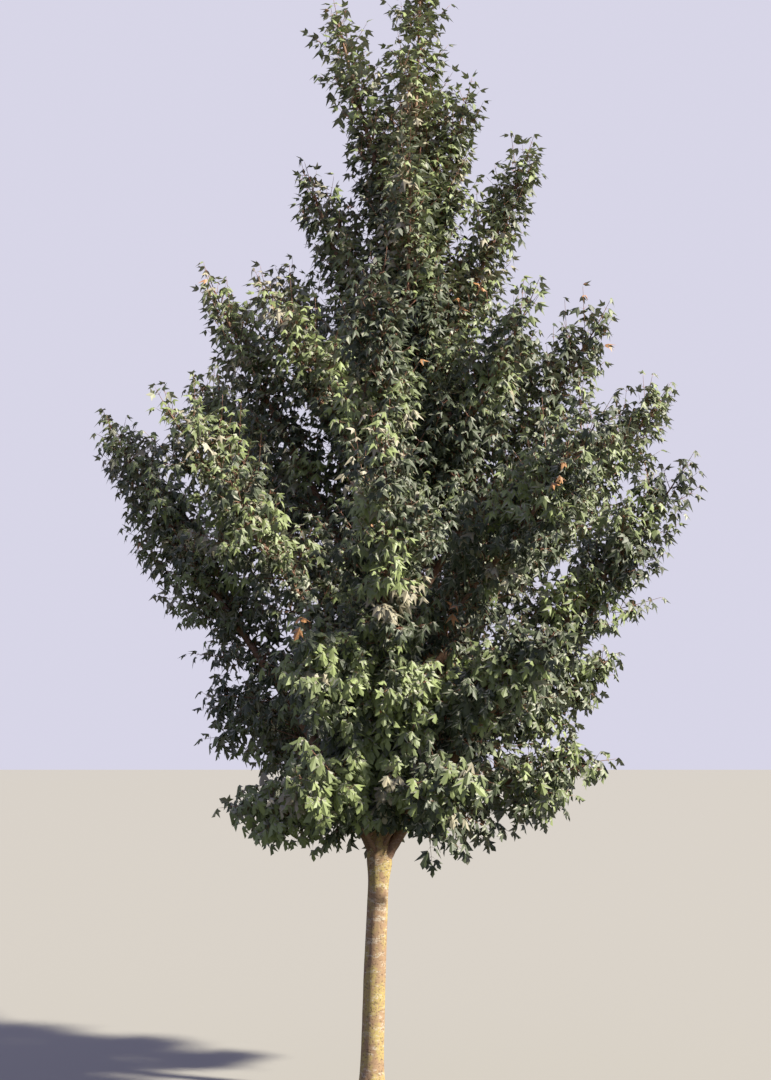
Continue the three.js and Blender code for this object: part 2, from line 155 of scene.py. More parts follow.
# %% Sizes of the limbs
LIMB_FIELDS = ("name", "start", "toward", "reach", "top", "arch", "bare", "spread")
LIMBS = [
    # low skirt
    ("low_front_left", 1.165, 240, 0.90, 1.60, 0.15, 0.36, 0.37),
    ("low_front_right", 1.200, 300, 0.96, 1.61, 0.15, 0.36, 0.38),
    ("low_right", 1.235, 12, 1.34, 1.69, 0.12, 0.36, 0.40),
    ("low_left", 1.270, 208, 0.93, 1.44, 0.1, 0.34, 0.38),
    ("low_back", 1.305, 90, 0.98, 1.54, 0.15, 0.34, 0.38),
    # lower tier
    ("lower_right", 1.410, 22, 1.48, 2.30, 0.06, 0.42, 0.43),
    ("lower_left", 1.430, 150, 1.22, 2.08, 0.06, 0.4, 0.42),
    ("lower_front_left", 1.500, 250, 1.15, 2.34, 0.06, 0.4, 0.42),
    ("lower_front_right", 1.520, 318, 1.20, 2.34, 0.06, 0.4, 0.42),
    ("lower_back_left", 1.590, 112, 1.15, 2.45, 0.06, 0.4, 0.42),
    ("lower_back_right", 1.610, 62, 1.20, 2.42, 0.06, 0.4, 0.42),
    # long sweeping boughs
    ("sweep_right", 1.120, 346, 1.69, 3.28, 0, 0.48, 0.41),
    ("sweep_left", 1.150, 174, 1.57, 3.65, 0, 0.42, 0.45),
    ("sweep_front", 1.690, 270, 1.50, 3.22, 0, 0.42, 0.44),
    ("sweep_back", 1.720, 90, 1.52, 3.30, 0, 0.42, 0.44),
    ("sweep_outer_right", 1.800, 18, 1.76, 3.89, 0, 0.44, 0.42),
    ("sweep_front_left", 1.830, 220, 1.48, 3.48, 0, 0.42, 0.44),
    ("sweep_front_right", 1.900, 314, 1.54, 3.40, 0, 0.42, 0.44),
    ("sweep_back_left", 1.950, 140, 1.57, 4.06, 0, 0.42, 0.44),
    ("sweep_back_right", 2.020, 52, 1.54, 3.50, 0, 0.42, 0.44),
    # upper tier
    ("upper_left", 2.180, 181, 1.04, 4.40, 0, 0.36, 0.43),
    ("upper_right", 2.260, 354, 1.20, 4.18, 0, 0.38, 0.40),
    ("upper_front", 2.420, 262, 0.92, 4.18, 0, 0.32, 0.42),
    ("upper_back", 2.520, 88, 0.95, 4.28, 0, 0, 0.42),
    ("upper_front_right", 2.680, 318, 0.98, 4.14, 0, 0, 0.41),
    ("upper_back_right", 2.760, 34, 0.96, 4.18, 0, 0, 0.41),
    ("upper_front_left", 2.860, 210, 0.90, 4.24, 0, 0, 0.41),
    ("upper_back_left", 2.940, 146, 0.90, 4.58, 0, 0, 0.41),
    # top tier
    ("top_right", 3.260, 2, 0.74, 5.18, 0, 0, 0.39),
    ("top_left", 3.340, 182, 0.57, 5.01, 0, 0, 0.36),
    ("top_front", 3.460, 272, 0.54, 4.98, 0, 0, 0.32),
    ("top_back", 3.580, 92, 0.56, 5.08, 0, 0, 0.32),
    # crest
    ("crest_left", 4.120, 188, 0.44, 5.95, 0, 0, 0.24),
    ("crest_right", 4.200, 350, 0.36, 5.48, 0, 0, 0.27),
    ("crest_back", 4.330, 84, 0.34, 5.70, 0, 0, 0.26),
]
print("limbs that leave the trunk:", len(LIMBS))

# %% [markdown]
# A limb leaves the trunk steeply, leans out and turns up again. A cubic curve with two
# bends between its ends does that. Tubes and twigs need points at even distances, so
# the curve is sampled densely and read off at equal steps of its length.

# %% Curves
CURVE_SAMPLES = 160


def bezier(controls, t):
    """Points of a cubic curve, or of a straight line where there are two controls."""
    t = np.asarray(t, dtype=float)[:, None]
    if len(controls) == 2:
        return mix(controls[0], controls[1], t)
    weights = [(1 - t) ** 3, 3 * t * (1 - t) ** 2, 3 * t**2 * (1 - t), t**3]
    return sum(w * c for w, c in zip(weights, controls))


def evenly(controls, first, last, count):
    """Evenly spaced points on the stretch of a curve between two of its shares."""
    dense = bezier(controls, np.linspace(first, last, CURVE_SAMPLES))
    run = np.concatenate([[0], np.cumsum(np.linalg.norm(np.diff(dense, axis=0), axis=1))])
    wanted = np.linspace(0, run[-1], count)
    return np.stack([np.interp(wanted, run, dense[:, i]) for i in range(3)], axis=1)


def line_length(points):
    """The length of a line through all its points."""
    return float(np.linalg.norm(np.diff(points, axis=0), axis=1).sum())


plain_arch = [np.zeros(3), 0.5 * UP, UP + np.array([0.5, 0, 0]), UP + np.array([1.0, 0, 0])]
print("length of a simple arch:", round(line_length(evenly(plain_arch, 0, 1, 20)), 3))

# %% [markdown]
# Now each line of sizes becomes a limb: its curve, a girth that goes with its length,
# the share that is bare, and the knots of its leafy stem. The top of the trunk bears
# leaves all round, so it counts as one more limb, the leader.

# %% Limbs
LEADER_SPREAD = 0.24
FIRST_BEND = (0.27, 0.36)
SECOND_BEND = (0.75, 0.68)
RADIUS_PER_LENGTH = 0.0098
LEAST_BASE_RADIUS = 0.012
LIMB_TIP_RADIUS = 0.006
COLLAR_SHARE = 0.3
COLLAR_LENGTH = 0.06
SOLID_LEAF = 0.30
SOLID_TWIG = 0.045
SOLID_TIP_ROOM = SOLID_LEAF + SOLID_TWIG
SHADED_SHARE = 0.28
STEM_STEPS = 3


def describe_limb(seed, row):
    """One limb's curve, girth and stem, from its line of sizes."""
    limb = SimpleNamespace(seed=seed, **dict(zip(LIMB_FIELDS, row)))
    root = trunk_axis(limb.start)
    heading = math.radians(limb.toward)
    out = np.array([math.cos(heading), math.sin(heading), 0.0])
    rise = limb.top - limb.start
    places = [(*FIRST_BEND, limb.arch), (*SECOND_BEND, limb.arch), (1, 1, 0)]
    bends = [root + out * limb.reach * o + UP * (rise * u + lift) for o, u, lift in places]
    limb.controls = [root, *bends]
    limb.length = line_length(evenly(limb.controls, 0, 1, CURVE_SAMPLES))
    limb.base_radius = max(LEAST_BASE_RADIUS, limb.length * RADIUS_PER_LENGTH)
    limb.tip_radius = LIMB_TIP_RADIUS
    limb.stem_end = 1 - SOLID_TIP_ROOM / limb.length
    limb.leafless = 0 if limb.bare > 0 else SHADED_SHARE
    return limb


def describe_leader(seed):
    """The top of the trunk, which bears leaves all round like a limb."""
    root = trunk_axis(TRUNK_TIP_HEIGHT)
    heading = unit(root - trunk_axis(LAST_TRUNK_RING))
    tip = root + heading * (TREE_HEIGHT - TRUNK_TIP_HEIGHT - SOLID_TIP_ROOM)
    return SimpleNamespace(
        seed=seed, name="leader", start=TRUNK_TIP_HEIGHT, bare=0, spread=LEADER_SPREAD,
        controls=[root, tip], length=line_length(np.array([root, tip])), stem_end=1,
        base_radius=TIP_RADIUS, tip_radius=LIMB_TIP_RADIUS, leafless=0,
    )


def limb_radius(limb, along):
    """A limb's radius at a share of its length, with the collar where it leaves the trunk."""
    collar = 1 + COLLAR_SHARE * np.exp(-np.asarray(along) / COLLAR_LENGTH)
    if limb.name == "leader":
        collar = 1
    return limb.tip_radius + (limb.base_radius - limb.tip_radius) * (1 - along) * collar


limbs = [describe_limb(seed, row) for seed, row in enumerate(LIMBS)]
limbs.append(describe_leader(len(LIMBS)))
for limb in limbs:
    limb.knots = evenly(limb.controls, limb.bare, limb.stem_end, STEM_STEPS + 1)
print("limbs:", len(limbs), "with", sum(limb.bare > 0 for limb in limbs), "bare boughs")

# %% [markdown]
# Many thousand leaves and twigs are far too many for separate objects, and too many to
# add face by face. They are worked out as arrays of numbers and joined into a few
# meshes. These helpers turn such arrays into Blender meshes in one go, with the material
# of each face given by its number, and lay tubes along lines.


# %% Mesh helpers
def add_object(name, vertices, faces, materials, face_materials=None, smooth=True, uvs=None):
    """A mesh object from arrays. All its faces have the same number of corners."""
    mesh = bpy.data.meshes.new(name)
    count, corners = faces.shape
    mesh.vertices.add(len(vertices))
    mesh.vertices.foreach_set("co", vertices.astype(np.float32).ravel())
    mesh.loops.add(count * corners)
    mesh.loops.foreach_set("vertex_index", faces.astype(np.int32).ravel())
    mesh.polygons.add(count)
    mesh.polygons.foreach_set("loop_start", np.arange(0, count * corners, corners, dtype=np.int32))
    if face_materials is not None:
        mesh.polygons.foreach_set("material_index", face_materials.astype(np.int32))
    mesh.polygons.foreach_set("use_smooth", np.full(count, smooth))
    if uvs is not None:
        layer = mesh.uv_layers.new(name="blade")
        layer.data.foreach_set("uv", uvs[faces.ravel()].astype(np.float32).ravel())
    for material in materials:
        mesh.materials.append(material)
    mesh.update()
    mesh.validate()
    piece = bpy.data.objects.new(name, mesh)
    bpy.context.scene.collection.objects.link(piece)
    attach(piece, "root")
    return piece


NEARLY_UPRIGHT = 0.95


def square_to(directions):
    """Two unit directions square to each given one."""
    flat = np.abs(directions[..., 2:3]) < NEARLY_UPRIGHT
    helper = np.where(flat, UP, np.array([1.0, 0.0, 0.0]))
    level = unit(np.cross(directions, helper))
    return level, np.cross(level, directions)


def tubes(lines, radii, sides):
    """Tapering tubes along many lines at once: lines are (tube, point, 3)."""
    tangents = np.gradient(lines, axis=1)
    level, rise = square_to(unit(tangents))
    turns = np.arange(sides) * 2 * math.pi / sides
    ring = np.cos(turns)[:, None] * level[:, :, None] + np.sin(turns)[:, None] * rise[:, :, None]
    vertices = lines[:, :, None] + ring * radii[:, :, None, None]
    count, points = lines.shape[:2]
    index = np.arange(count * points * sides).reshape(count, points, sides)
    following = np.roll(index, -1, axis=2)
    quads = [index[:, :-1], following[:, :-1], following[:, 1:], index[:, 1:]]
    return vertices.reshape(-1, 3), np.stack(quads, axis=-1).reshape(-1, 4)


two_points = np.array([[[0.0, 0.0, 0.0], [0.0, 0.0, 1.0]]])
print("faces of a tube with four sides:", len(tubes(two_points, np.full((1, 2), 0.1), 4)[1]))

# %% [markdown]
# A material in Blender is a graph of nodes. Building one in code is repetitive, so these
# helpers add a node, set its values, link what is linked, and hand back its output. A
# value given as a number is set on the socket, and a value given as an output is linked.


# %% Node helpers
def linear(red, green, blue):
    """A colour written as the 0 to 255 values of a screen, for a shader."""
    def channel(v):
        v = v / 255
        return v / 12.92 if v <= 0.04045 else ((v + 0.055) / 1.055) ** 2.4
    return (channel(red), channel(green), channel(blue), 1.0)


def new_group(name, inputs, outputs):
    """An empty node group with named sockets, and its nodes for going in and out."""
    tree = bpy.data.node_groups.new(name, "ShaderNodeTree")
    for label, kind, value in inputs:
        socket = tree.interface.new_socket(label, in_out="INPUT", socket_type=kind)
        socket.default_value = value
    for label, kind in outputs:
        tree.interface.new_socket(label, in_out="OUTPUT", socket_type=kind)
    return tree, tree.nodes.new("NodeGroupInput"), tree.nodes.new("NodeGroupOutput")


def add_noise(tree, vector, scale, detail=3.0, stretch=None):
    """A cloudy pattern from 0 to 1, stretched along the axes if asked."""
    texture = tree.nodes.new("ShaderNodeTexNoise")
    texture.inputs["Detail"].default_value = detail
    if isinstance(scale, (int, float)):
        texture.inputs["Scale"].default_value = scale
    else:
        tree.links.new(scale, texture.inputs["Scale"])
    if stretch is not None:
        mapping = tree.nodes.new("ShaderNodeMapping")
        mapping.inputs["Scale"].default_value = stretch
        tree.links.new(vector, mapping.inputs["Vector"])
        vector = mapping.outputs["Vector"]
    tree.links.new(vector, texture.inputs["Vector"])
    return texture.outputs["Fac"]


def add_ramp(tree, value, low, high):
    """A mask that rises from 0 to 1 as the value goes from low to high."""
    node = tree.nodes.new("ShaderNodeMapRange")
    node.interpolation_type = "SMOOTHSTEP"
    node.inputs["From Min"].default_value = low
    node.inputs["From Max"].default_value = high
    tree.links.new(value, node.inputs["Value"])
    return node.outputs["Result"]


def add_math(tree, operation, *values):
    """The result of one sum on numbers or outputs."""
    node = tree.nodes.new("ShaderNodeMath")
    node.operation = operation
    for socket, value in zip(node.inputs, values):
        if isinstance(value, (int, float)):
            socket.default_value = value
        else:
            tree.links.new(value, socket)
    return node.outputs["Value"]


def add_mix(tree, share, first, second):
    """A colour between two others."""
    node = tree.nodes.new("ShaderNodeMix")
    node.data_type = "RGBA"
    sockets = (node.inputs["Factor"], node.inputs[6], node.inputs[7])
    for socket, value in zip(sockets, (share, first, second)):
        if isinstance(value, (int, float, tuple)):
            socket.default_value = value
        else:
            tree.links.new(value, socket)
    return node.outputs[2]


print("a screen's middle grey in a shader:", round(linear(128, 128, 128)[0], 3))

# %% [markdown]
# Bark and leaves alike get their colour, roughness and relief from a node group. This
# helper makes such a material: it places the group, gives it the material's own values,
# and links what comes out to the shader, with the relief going through a Bump node.


# %% Materials from a group
def new_material(name):
    """A material with its tree and its one shader."""
    material = bpy.data.materials.new(name)
    material.use_nodes = True
    shader = material.node_tree.nodes["Principled BSDF"]
    return material, material.node_tree, shader


def grouped_material(name, group, values, bump_distance, bump_strength):
    """A material whose colour, roughness and relief come from one group."""
    material, tree, shader = new_material(name)
    surface = tree.nodes.new("ShaderNodeGroup")
    surface.node_tree = group
    for label, value in values.items():
        surface.inputs[label].default_value = value
    bump = tree.nodes.new("ShaderNodeBump")
    bump.inputs["Distance"].default_value = bump_distance
    bump.inputs["Strength"].default_value = bump_strength
    tree.links.new(surface.outputs["Color"], shader.inputs["Base Color"])
    tree.links.new(surface.outputs["Roughness"], shader.inputs["Roughness"])
    tree.links.new(surface.outputs["Height"], bump.inputs["Height"])
    tree.links.new(bump.outputs["Normal"], shader.inputs["Normal"])
    material.diffuse_color = values[next(iter(values))]
    return material


SURFACE_OUTPUTS = [
    ("Color", "NodeSocketColor"), ("Roughness", "NodeSocketFloat"), ("Height", "NodeSocketFloat"),
]
print("every surface group puts out:", [label for label, kind in SURFACE_OUTPUTS])

# %% [markdown]
# Bark is the first material. On a young maple it is thin, tan grey and finely rough,
# with a dusting of yellow lichen, paler crusts in faint rings, and small dark flecks.
# An image could give that too, but a pattern made of noise has no seams and no limit to
# its detail. One node group makes it for trunk, boughs and twigs, and each material
# gives it its own colours and scale. A group puts out only colour, roughness and height:
# the shader that uses them stays in the material, so the exporter can read it.


# %% Bark group
def make_bark_group():
    """Noise at four scales: speckle, lichen patches, rings of crust, and flecks."""
    tree, inside, outside = new_group(
        "bark_surface",
        [("Bark", "NodeSocketColor", (0.3, 0.25, 0.15, 1)),
         ("Lichen", "NodeSocketColor", (0.5, 0.4, 0.15, 1)),
         ("Crust", "NodeSocketColor", (0.6, 0.5, 0.45, 1)),
         ("Cracks", "NodeSocketColor", (0.05, 0.04, 0.03, 1)),
         ("Lichen Share", "NodeSocketFloat", 0.5),
         ("Fineness", "NodeSocketFloat", 1.0)],
        SURFACE_OUTPUTS,
    )
    place = tree.nodes.new("ShaderNodeTexCoord").outputs["Object"]

    def pattern(scale, detail, stretch=None):
        fine_scale = add_math(tree, "MULTIPLY", inside.outputs["Fineness"], scale)
        return add_noise(tree, place, fine_scale, detail, stretch)

    def both(first, second):
        return add_math(tree, "MULTIPLY", first, second)

    speckle = pattern(210.0, 4.0)
    patches = pattern(26.0, 5.0, stretch=(1, 1, 0.7))
    rings = pattern(44.0, 4.0, stretch=(0.6, 0.6, 1.9))
    flecks = pattern(120.0, 3.0, stretch=(1, 1, 1.4))
    lichen = both(add_ramp(tree, patches, 0.42, 0.56), add_ramp(tree, speckle, 0.38, 0.52))
    lichen = both(lichen, inside.outputs["Lichen Share"])
    crust = both(add_ramp(tree, rings, 0.52, 0.62), add_ramp(tree, speckle, 0.62, 0.46))
    dark = both(add_ramp(tree, flecks, 0.55, 0.66), 0.7)
    color = add_mix(tree, both(crust, 0.8), inside.outputs["Bark"], inside.outputs["Crust"])
    color = add_mix(tree, lichen, color, inside.outputs["Lichen"])
    color = add_mix(tree, dark, color, inside.outputs["Cracks"])
    roughness = add_math(tree, "ADD", both(speckle, 0.15), 0.78)
    height = add_math(tree, "SUBTRACT", both(speckle, 0.5), dark)
    tree.links.new(color, outside.inputs["Color"])
    tree.links.new(roughness, outside.inputs["Roughness"])
    tree.links.new(height, outside.inputs["Height"])
    return tree


bark_group = make_bark_group()
print("inputs of the bark group:", len(bark_group.interface.items_tree) - len(SURFACE_OUTPUTS))

# %% [markdown]
# Three barks come from the one group. The trunk's is tan with the most lichen and the
# coarsest pattern. The boughs' is browner, and the twigs' is redder still, with a finer
# pattern, as the bark of young wood is smoother.

# %% Bark materials
trunk_bark = grouped_material(
    "trunk_bark", bark_group,
    {"Bark": linear(166, 132, 100), "Lichen": linear(192, 172, 96), "Crust": linear(212, 196, 172),
     "Cracks": linear(100, 82, 60), "Lichen Share": 0.8, "Fineness": 0.62},
    bump_distance=0.0015, bump_strength=0.7,
)
bough_bark = grouped_material(
    "bough_bark", bark_group,
    {"Bark": linear(140, 104, 86), "Lichen": linear(160, 132, 92), "Crust": linear(170, 140, 126),
     "Cracks": linear(78, 56, 48), "Lichen Share": 0.4, "Fineness": 1.5},
    bump_distance=0.001, bump_strength=0.6,
)
twig_bark = grouped_material(
    "twig_bark", bark_group,
    {"Bark": linear(140, 98, 80), "Lichen": linear(148, 122, 92), "Crust": linear(176, 134, 114),
     "Cracks": linear(80, 54, 46), "Lichen Share": 0.3, "Fineness": 3.0},
    bump_distance=0.0005, bump_strength=0.5,
)
print("bark materials:", trunk_bark.name, bough_bark.name, twig_bark.name)

# %% [markdown]
# The trunk's surface isn't a plain cone. It has long low ridges, a slight waviness, and a
# swelling round the foot of every limb. A bump map alone would be less work, but relief
# that is real shape shows at the edges too. The rings of the mesh are finest where the
# trunk can be seen, below the crown.

# %% Relief of the trunk
TRUNK_SIDES = 72
FINE_RING = 0.011
COARSE_RING = 0.035
FINE_UP_TO = 1.5
RIDGE_DEPTH = 0.0016
WAVE_DEPTH = 0.0025
RIDGES = np.array([55, 55, 7])
WAVES = np.array([9, 9, 3])
WAVE_SHIFT = np.array([4, 0, 0])
SWELLING = 0.45
SWELL_ACROSS = 1.3
SWELL_ALONG = 2.2


def trunk_heights():
    """Heights of the rings: close together where the trunk shows, wider in the crown."""
    fine = np.arange(0, FINE_UP_TO, FINE_RING)
    coarse = np.arange(FINE_UP_TO, TRUNK_TIP_HEIGHT, COARSE_RING)
    return np.concatenate([fine, coarse, [TRUNK_TIP_HEIGHT]])


def bark_relief(place):
    """How far the bark stands out: slow waves, less narrow ridges along the trunk."""
    ridges = abs(noise.noise(Vector(place * RIDGES)))
    waves = noise.noise(Vector(place * WAVES + WAVE_SHIFT))
    return waves * WAVE_DEPTH - ridges * RIDGE_DEPTH


def limb_swelling(heights, turns):
    """How far the trunk swells where limbs leave it, for each ring and side."""
    swell = np.zeros((len(heights), len(turns)))
    for limb in limbs:
        if limb.name == "leader":
            continue
        girth = float(limb_radius(limb, 0))
        tilt = math.radians(limb.toward)
        apart = np.abs((turns - tilt + math.pi) % (2 * math.pi) - math.pi)
        across = apart * trunk_radius(limb.start)
        above = heights - (limb.start + girth)
        wide = (across[None] / (SWELL_ACROSS * girth)) ** 2
        tall = (above[:, None] / (SWELL_ALONG * girth)) ** 2
        swell = np.maximum(swell, np.exp(-wide - tall) * girth * SWELLING)
    return swell


print("rings:", len(trunk_heights()), "and swelling at a limb:",
      round(1000 * float(limb_swelling(np.array([1.25]), np.radians([12])).max()), 1), "mm")

# %% [markdown]
# The mesh is the stack of rings, joined by four-cornered faces and closed by a fan at
# each end. The foot is flat, at height zero, and its flare has five faint buttresses
# where the roots set off. The mesh replaces the plain solid of the trunk.


# %% Trunk
def make_trunk():
    """The trunk's closed mesh: rings with relief, and a fan of faces at each end."""
    heights = trunk_heights()
    turns = np.arange(TRUNK_SIDES) * 2 * math.pi / TRUNK_SIDES
    middles = trunk_axis(heights)
    flare = np.exp(-heights / FLARE_HEIGHT)[:, None]
    lobe = 1 + BUTTRESS_SHARE * np.cos(BUTTRESSES * turns)[None]
    radius = trunk_radius(heights)[:, None] + FLARE_RADIUS * flare * lobe
    radius = radius + limb_swelling(heights, turns)
    out = np.stack([np.cos(turns), np.sin(turns), np.zeros(TRUNK_SIDES)], axis=1)
    places = middles[:, None] + out[None] * radius[:, :, None]
    depth = np.array([bark_relief(place) for place in places.reshape(-1, 3)]).reshape(radius.shape)
    fading = np.clip(radius / FOOT_RADIUS, 0, 1)
    places = places + out[None] * (depth * fading)[:, :, None]
    places[:, :, 2] = heights[:, None]
    index = np.arange(places[:, :, 0].size).reshape(len(heights), TRUNK_SIDES)
    following = np.roll(index, -1, axis=1)
    sides = np.stack([index[:-1], following[:-1], following[1:], index[1:]], axis=-1)
    vertices = places.reshape(-1, 3)
    caps = []
    for ring, middle in ((index[0][::-1], middles[0]), (index[-1], middles[-1])):
        vertices = np.vstack([vertices, middle])
        centre = len(vertices) - 1
        pairs = ring.reshape(-1, 2)
        after = np.roll(pairs[:, 0], -1)
        caps.append(np.stack([np.full(len(pairs), centre), pairs[:, 0], pairs[:, 1], after], axis=1))
    faces = np.vstack([sides.reshape(-1, 4), *caps])
    piece = add_object("trunk_bark", vertices, faces, [trunk_bark])
    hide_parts("trunk")
    return piece


trunk = make_trunk()
print("trunk faces:", len(trunk.data.polygons))

# %% [markdown]
# A bough is one tapering limb. It climbs beside the trunk, leans out and turns up at
# its tip. The bare stretch of each bough is a tube with a few low swellings where
# older twigs have been shed. A curve object with a round profile would give a tube too,
# but not one whose every point can be moved. All boughs are joined into one mesh.

# %% Boughs
BOUGH_SIDES = 12
BOUGH_POINTS = 44
KNOB_SPACING = 0.12
KNOB_SHARE = 0.10
WOBBLES = 38
WOBBLE_DEPTH = 0.0016


def bough_lines():
    """The bare stretch of each bough, as a line of points with a radius for each."""
    bare = [limb for limb in limbs if limb.bare > 0]
    lines = np.stack([evenly(limb.controls, 0, limb.bare, BOUGH_POINTS) for limb in bare])
    share = np.linspace(0, 1, BOUGH_POINTS)
    radii = np.stack([limb_radius(limb, share * limb.bare) for limb in bare])
    for row, limb in enumerate(bare):
        run = share * line_length(lines[row])
        knobs = np.cos(run / KNOB_SPACING * 2 * math.pi + limb.seed) ** 8
        radii[row] *= 1 + KNOB_SHARE * knobs
    return bare, lines, radii


bare_limbs, lines, radii = bough_lines()
vertices, faces = tubes(lines, radii, BOUGH_SIDES)
wobble = np.array([noise.noise(Vector(place * WOBBLES)) for place in vertices])
centres = np.repeat(lines.reshape(-1, 3), BOUGH_SIDES, axis=0)
vertices = vertices + unit(vertices - centres) * (wobble * WOBBLE_DEPTH)[:, None]
boughs = add_object("boughs_bark", vertices, faces, [bough_bark])
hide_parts(*["bough_" + limb.name for limb in bare_limbs])
print("boughs:", len(bare_limbs), "faces:", len(faces))

# %% [markdown]
# Each plume keeps to its own space, so neighbouring plumes interlock without running
# into each other and gaps stay open between them. A point belongs to the plume
# whose stem is nearest, after the plumes' widths have been allowed for. Distances to
# lines are all this needs, with no test of mesh against mesh.

# %% Spaces of the plumes
SPACE_OVERLAP = -0.015
WOOD_POINTS = 8


def pieces_of(lines):
    """The start and the run of every straight piece of some lines."""
    starts = np.concatenate([line[:-1] for line in lines])
    return starts, np.concatenate([np.diff(line, axis=0) for line in lines])


def gaps_to(points, starts, runs):
    """The distance from each point to each straight piece."""
    to_start = points[:, None] - starts[None]
    t = np.clip((to_start * runs).sum(axis=2) / (runs**2).sum(axis=1), 0, 1)
    return np.linalg.norm(to_start - t[:, :, None] * runs, axis=2)


stem_pieces = pieces_of([limb.knots for limb in limbs])
spreads = np.array([limb.spread for limb in limbs])


def room_left(points):
    """For each point, its distance to every plume's stem less that plume's half width."""
    gaps = gaps_to(points, *stem_pieces)
    return gaps.reshape(len(points), len(limbs), STEM_STEPS).min(axis=2) - spreads


def in_own_space(seed, points):
    """Whether each point belongs to the plume with this seed."""
    room = room_left(points)
    mine = room[:, seed].copy()
    room[:, seed] = np.inf
    return room.min(axis=1) > mine - 2 * SPACE_OVERLAP


wood_pieces = pieces_of([evenly(limb.controls, 0, limb.bare, WOOD_POINTS) for limb in bare_limbs])
wood_radii = np.repeat([limb.base_radius for limb in bare_limbs], WOOD_POINTS - 1)


def clear_of_wood(points, margin):
    """Whether each point is clear of the trunk and of the bare boughs."""
    heights = np.clip(points[:, 2], 0, TRUNK_TIP_HEIGHT)
    gap = np.linalg.norm((points - trunk_axis(heights))[:, :2], axis=1)
    clear = (gap > trunk_radius(heights) + margin) | (points[:, 2] > TRUNK_TIP_HEIGHT)
    return clear & (gaps_to(points, *wood_pieces) > wood_radii + margin).all(axis=1)


print("plume spaces:", len(limbs))

# %% [markdown]
# Now the growth. Maple twigs leave a stem in opposite pairs, each pair a quarter turn
# round from the last, and the leaves sit on the twigs in the same way. The solids have
# one large leaf on each twig. Here the same twig grows on to the same reach as a spray:
# it bears side shoots on its inner part, and pairs of leaves on its outer part. First
# come the sizes of leaves and twigs, which are those of a real tree of this height.

# %% Sizes of twigs and leaves
TWIG_RADIUS = 0.0045
FINE_TWIG_RADIUS = 0.0011
LEAF_HEIGHTS = (1.2, 2.0, 3.2, TREE_HEIGHT)
LEAF_LENGTHS = (0.090, 0.086, 0.080, 0.080)
INTERNODES = (0.043, 0.048)


def leaf_size(height):
    """The length of a full-grown blade at a height in the crown."""
    return float(np.interp(height, LEAF_HEIGHTS, LEAF_LENGTHS))


def internode(height):
    """The distance from one pair of leaves on a twig to the next."""
    return mix(*INTERNODES, height / TREE_HEIGHT)


for height in (1.5, 5.5):
    sizes = [round(value * 1000) for value in (leaf_size(height), internode(height))]
    print("at", height, "m: leaves", sizes[0], "mm long, pairs", sizes[1], "mm apart")

# %% [markdown]
# A shoot is a line of five points that starts along its heading and then bends: down
# where it hangs low in the crown, and up near the top and at the ends of the limbs. Five
# points are enough for a smooth bend in something as thin as a straw.

# %% Lines of shoots
SHOOT_POINTS = 5
LEAF_ROOM = 0.06
LEAST_SPRAY = 0.12
TWIG_BEND = (-0.6, 0.9)
OUTER_BEND = 0.7
MOST_BEND = 1.2
LEADER_BEND = 0.1


def bent_line(root, heading, length, bend):
    """A shoot that starts along its heading and bends up or down towards its tip."""
    t = np.linspace(0, 1, SHOOT_POINTS)[:, None]
    later = unit(heading + UP * bend)
    return root + length * (t * heading * (1 - 0.5 * t) + 0.5 * t**2 * later)


def twig_line(root, heading, full, share=0.0):
    """A twig that bends up more the higher it stands and the nearer its limb's tip."""
    length = max(LEAST_SPRAY, full - LEAF_ROOM)
    bend = min(mix(*TWIG_BEND, root[2] / TREE_HEIGHT) + OUTER_BEND * share, MOST_BEND)
    if root[2] > TRUNK_TIP_HEIGHT:
        bend = LEADER_BEND
    return bent_line(root, heading, length, bend)


sample_twig = twig_line(trunk_axis(3.0), np.array([1.0, 0.0, 0.0]), 0.4)
print("a twig with 0.4 m of room is", round(line_length(sample_twig), 3), "m long")

# %% [markdown]
# A shoot stops where it would leave its plume's space, run into wood, or hang in front of
# the fork of the trunk, which stays open to view from the front. What is left of it is
# spread over five points again, or dropped where it would be a mere stub.

# %% Where shoots stop
LEAST_POINTS = 3
SHOOT_MARGIN = 0.004
FORK_HEIGHT = 1.31
FORK_HALF_WIDTH = 0.2


def shortened(line, points):
    """The first few points' worth of a line, spread over as many points as before."""
    t = np.linspace(0, points - 1, SHOOT_POINTS)
    return np.stack([np.interp(t, np.arange(SHOOT_POINTS), line[:, i]) for i in range(3)], axis=1)


def clear_of_fork(points):
    """Whether points leave the view of the trunk's fork open from the front."""
    beside = np.abs(points[:, 0] - trunk_axis(FORK_HEIGHT)[0]) > FORK_HALF_WIDTH
    return beside | (points[:, 1] > 0) | (points[:, 2] > FORK_HEIGHT)


def kept_line(seed, line, anywhere=False):
    """The part of a shoot that stays in its plume's space and clear of wood, or nothing."""
    inside = clear_of_wood(line, SHOOT_MARGIN) & clear_of_fork(line)
    inside[:2] = True
    if not anywhere:
        inside[1:] &= in_own_space(seed, line[1:])
    kept = SHOOT_POINTS if inside.all() else int(np.argmin(inside))
    if kept == SHOOT_POINTS:
        return line
    return shortened(line, kept) if kept >= LEAST_POINTS else None


def at_run(line, run):
    """The place and direction on a line at a given distance from its start."""
    steps = np.linalg.norm(np.diff(line, axis=0), axis=1)
    total = np.concatenate([[0], np.cumsum(steps)])
    place = np.array([np.interp(run, total, line[:, i]) for i in range(3)])
    step = min(int(np.searchsorted(total, run, side="right")) - 1, len(line) - 2)
    return place, unit(line[step + 1] - line[step])


for length in (0.1, 0.2, 0.4):
    rising = kept_line(2, bent_line(limbs[2].knots[1], UP, length, 0))
    fate = "is dropped" if rising is None else f"keeps {line_length(rising):.2f} m"
    print("a shoot that rises", length, "m from a low stem", fate)

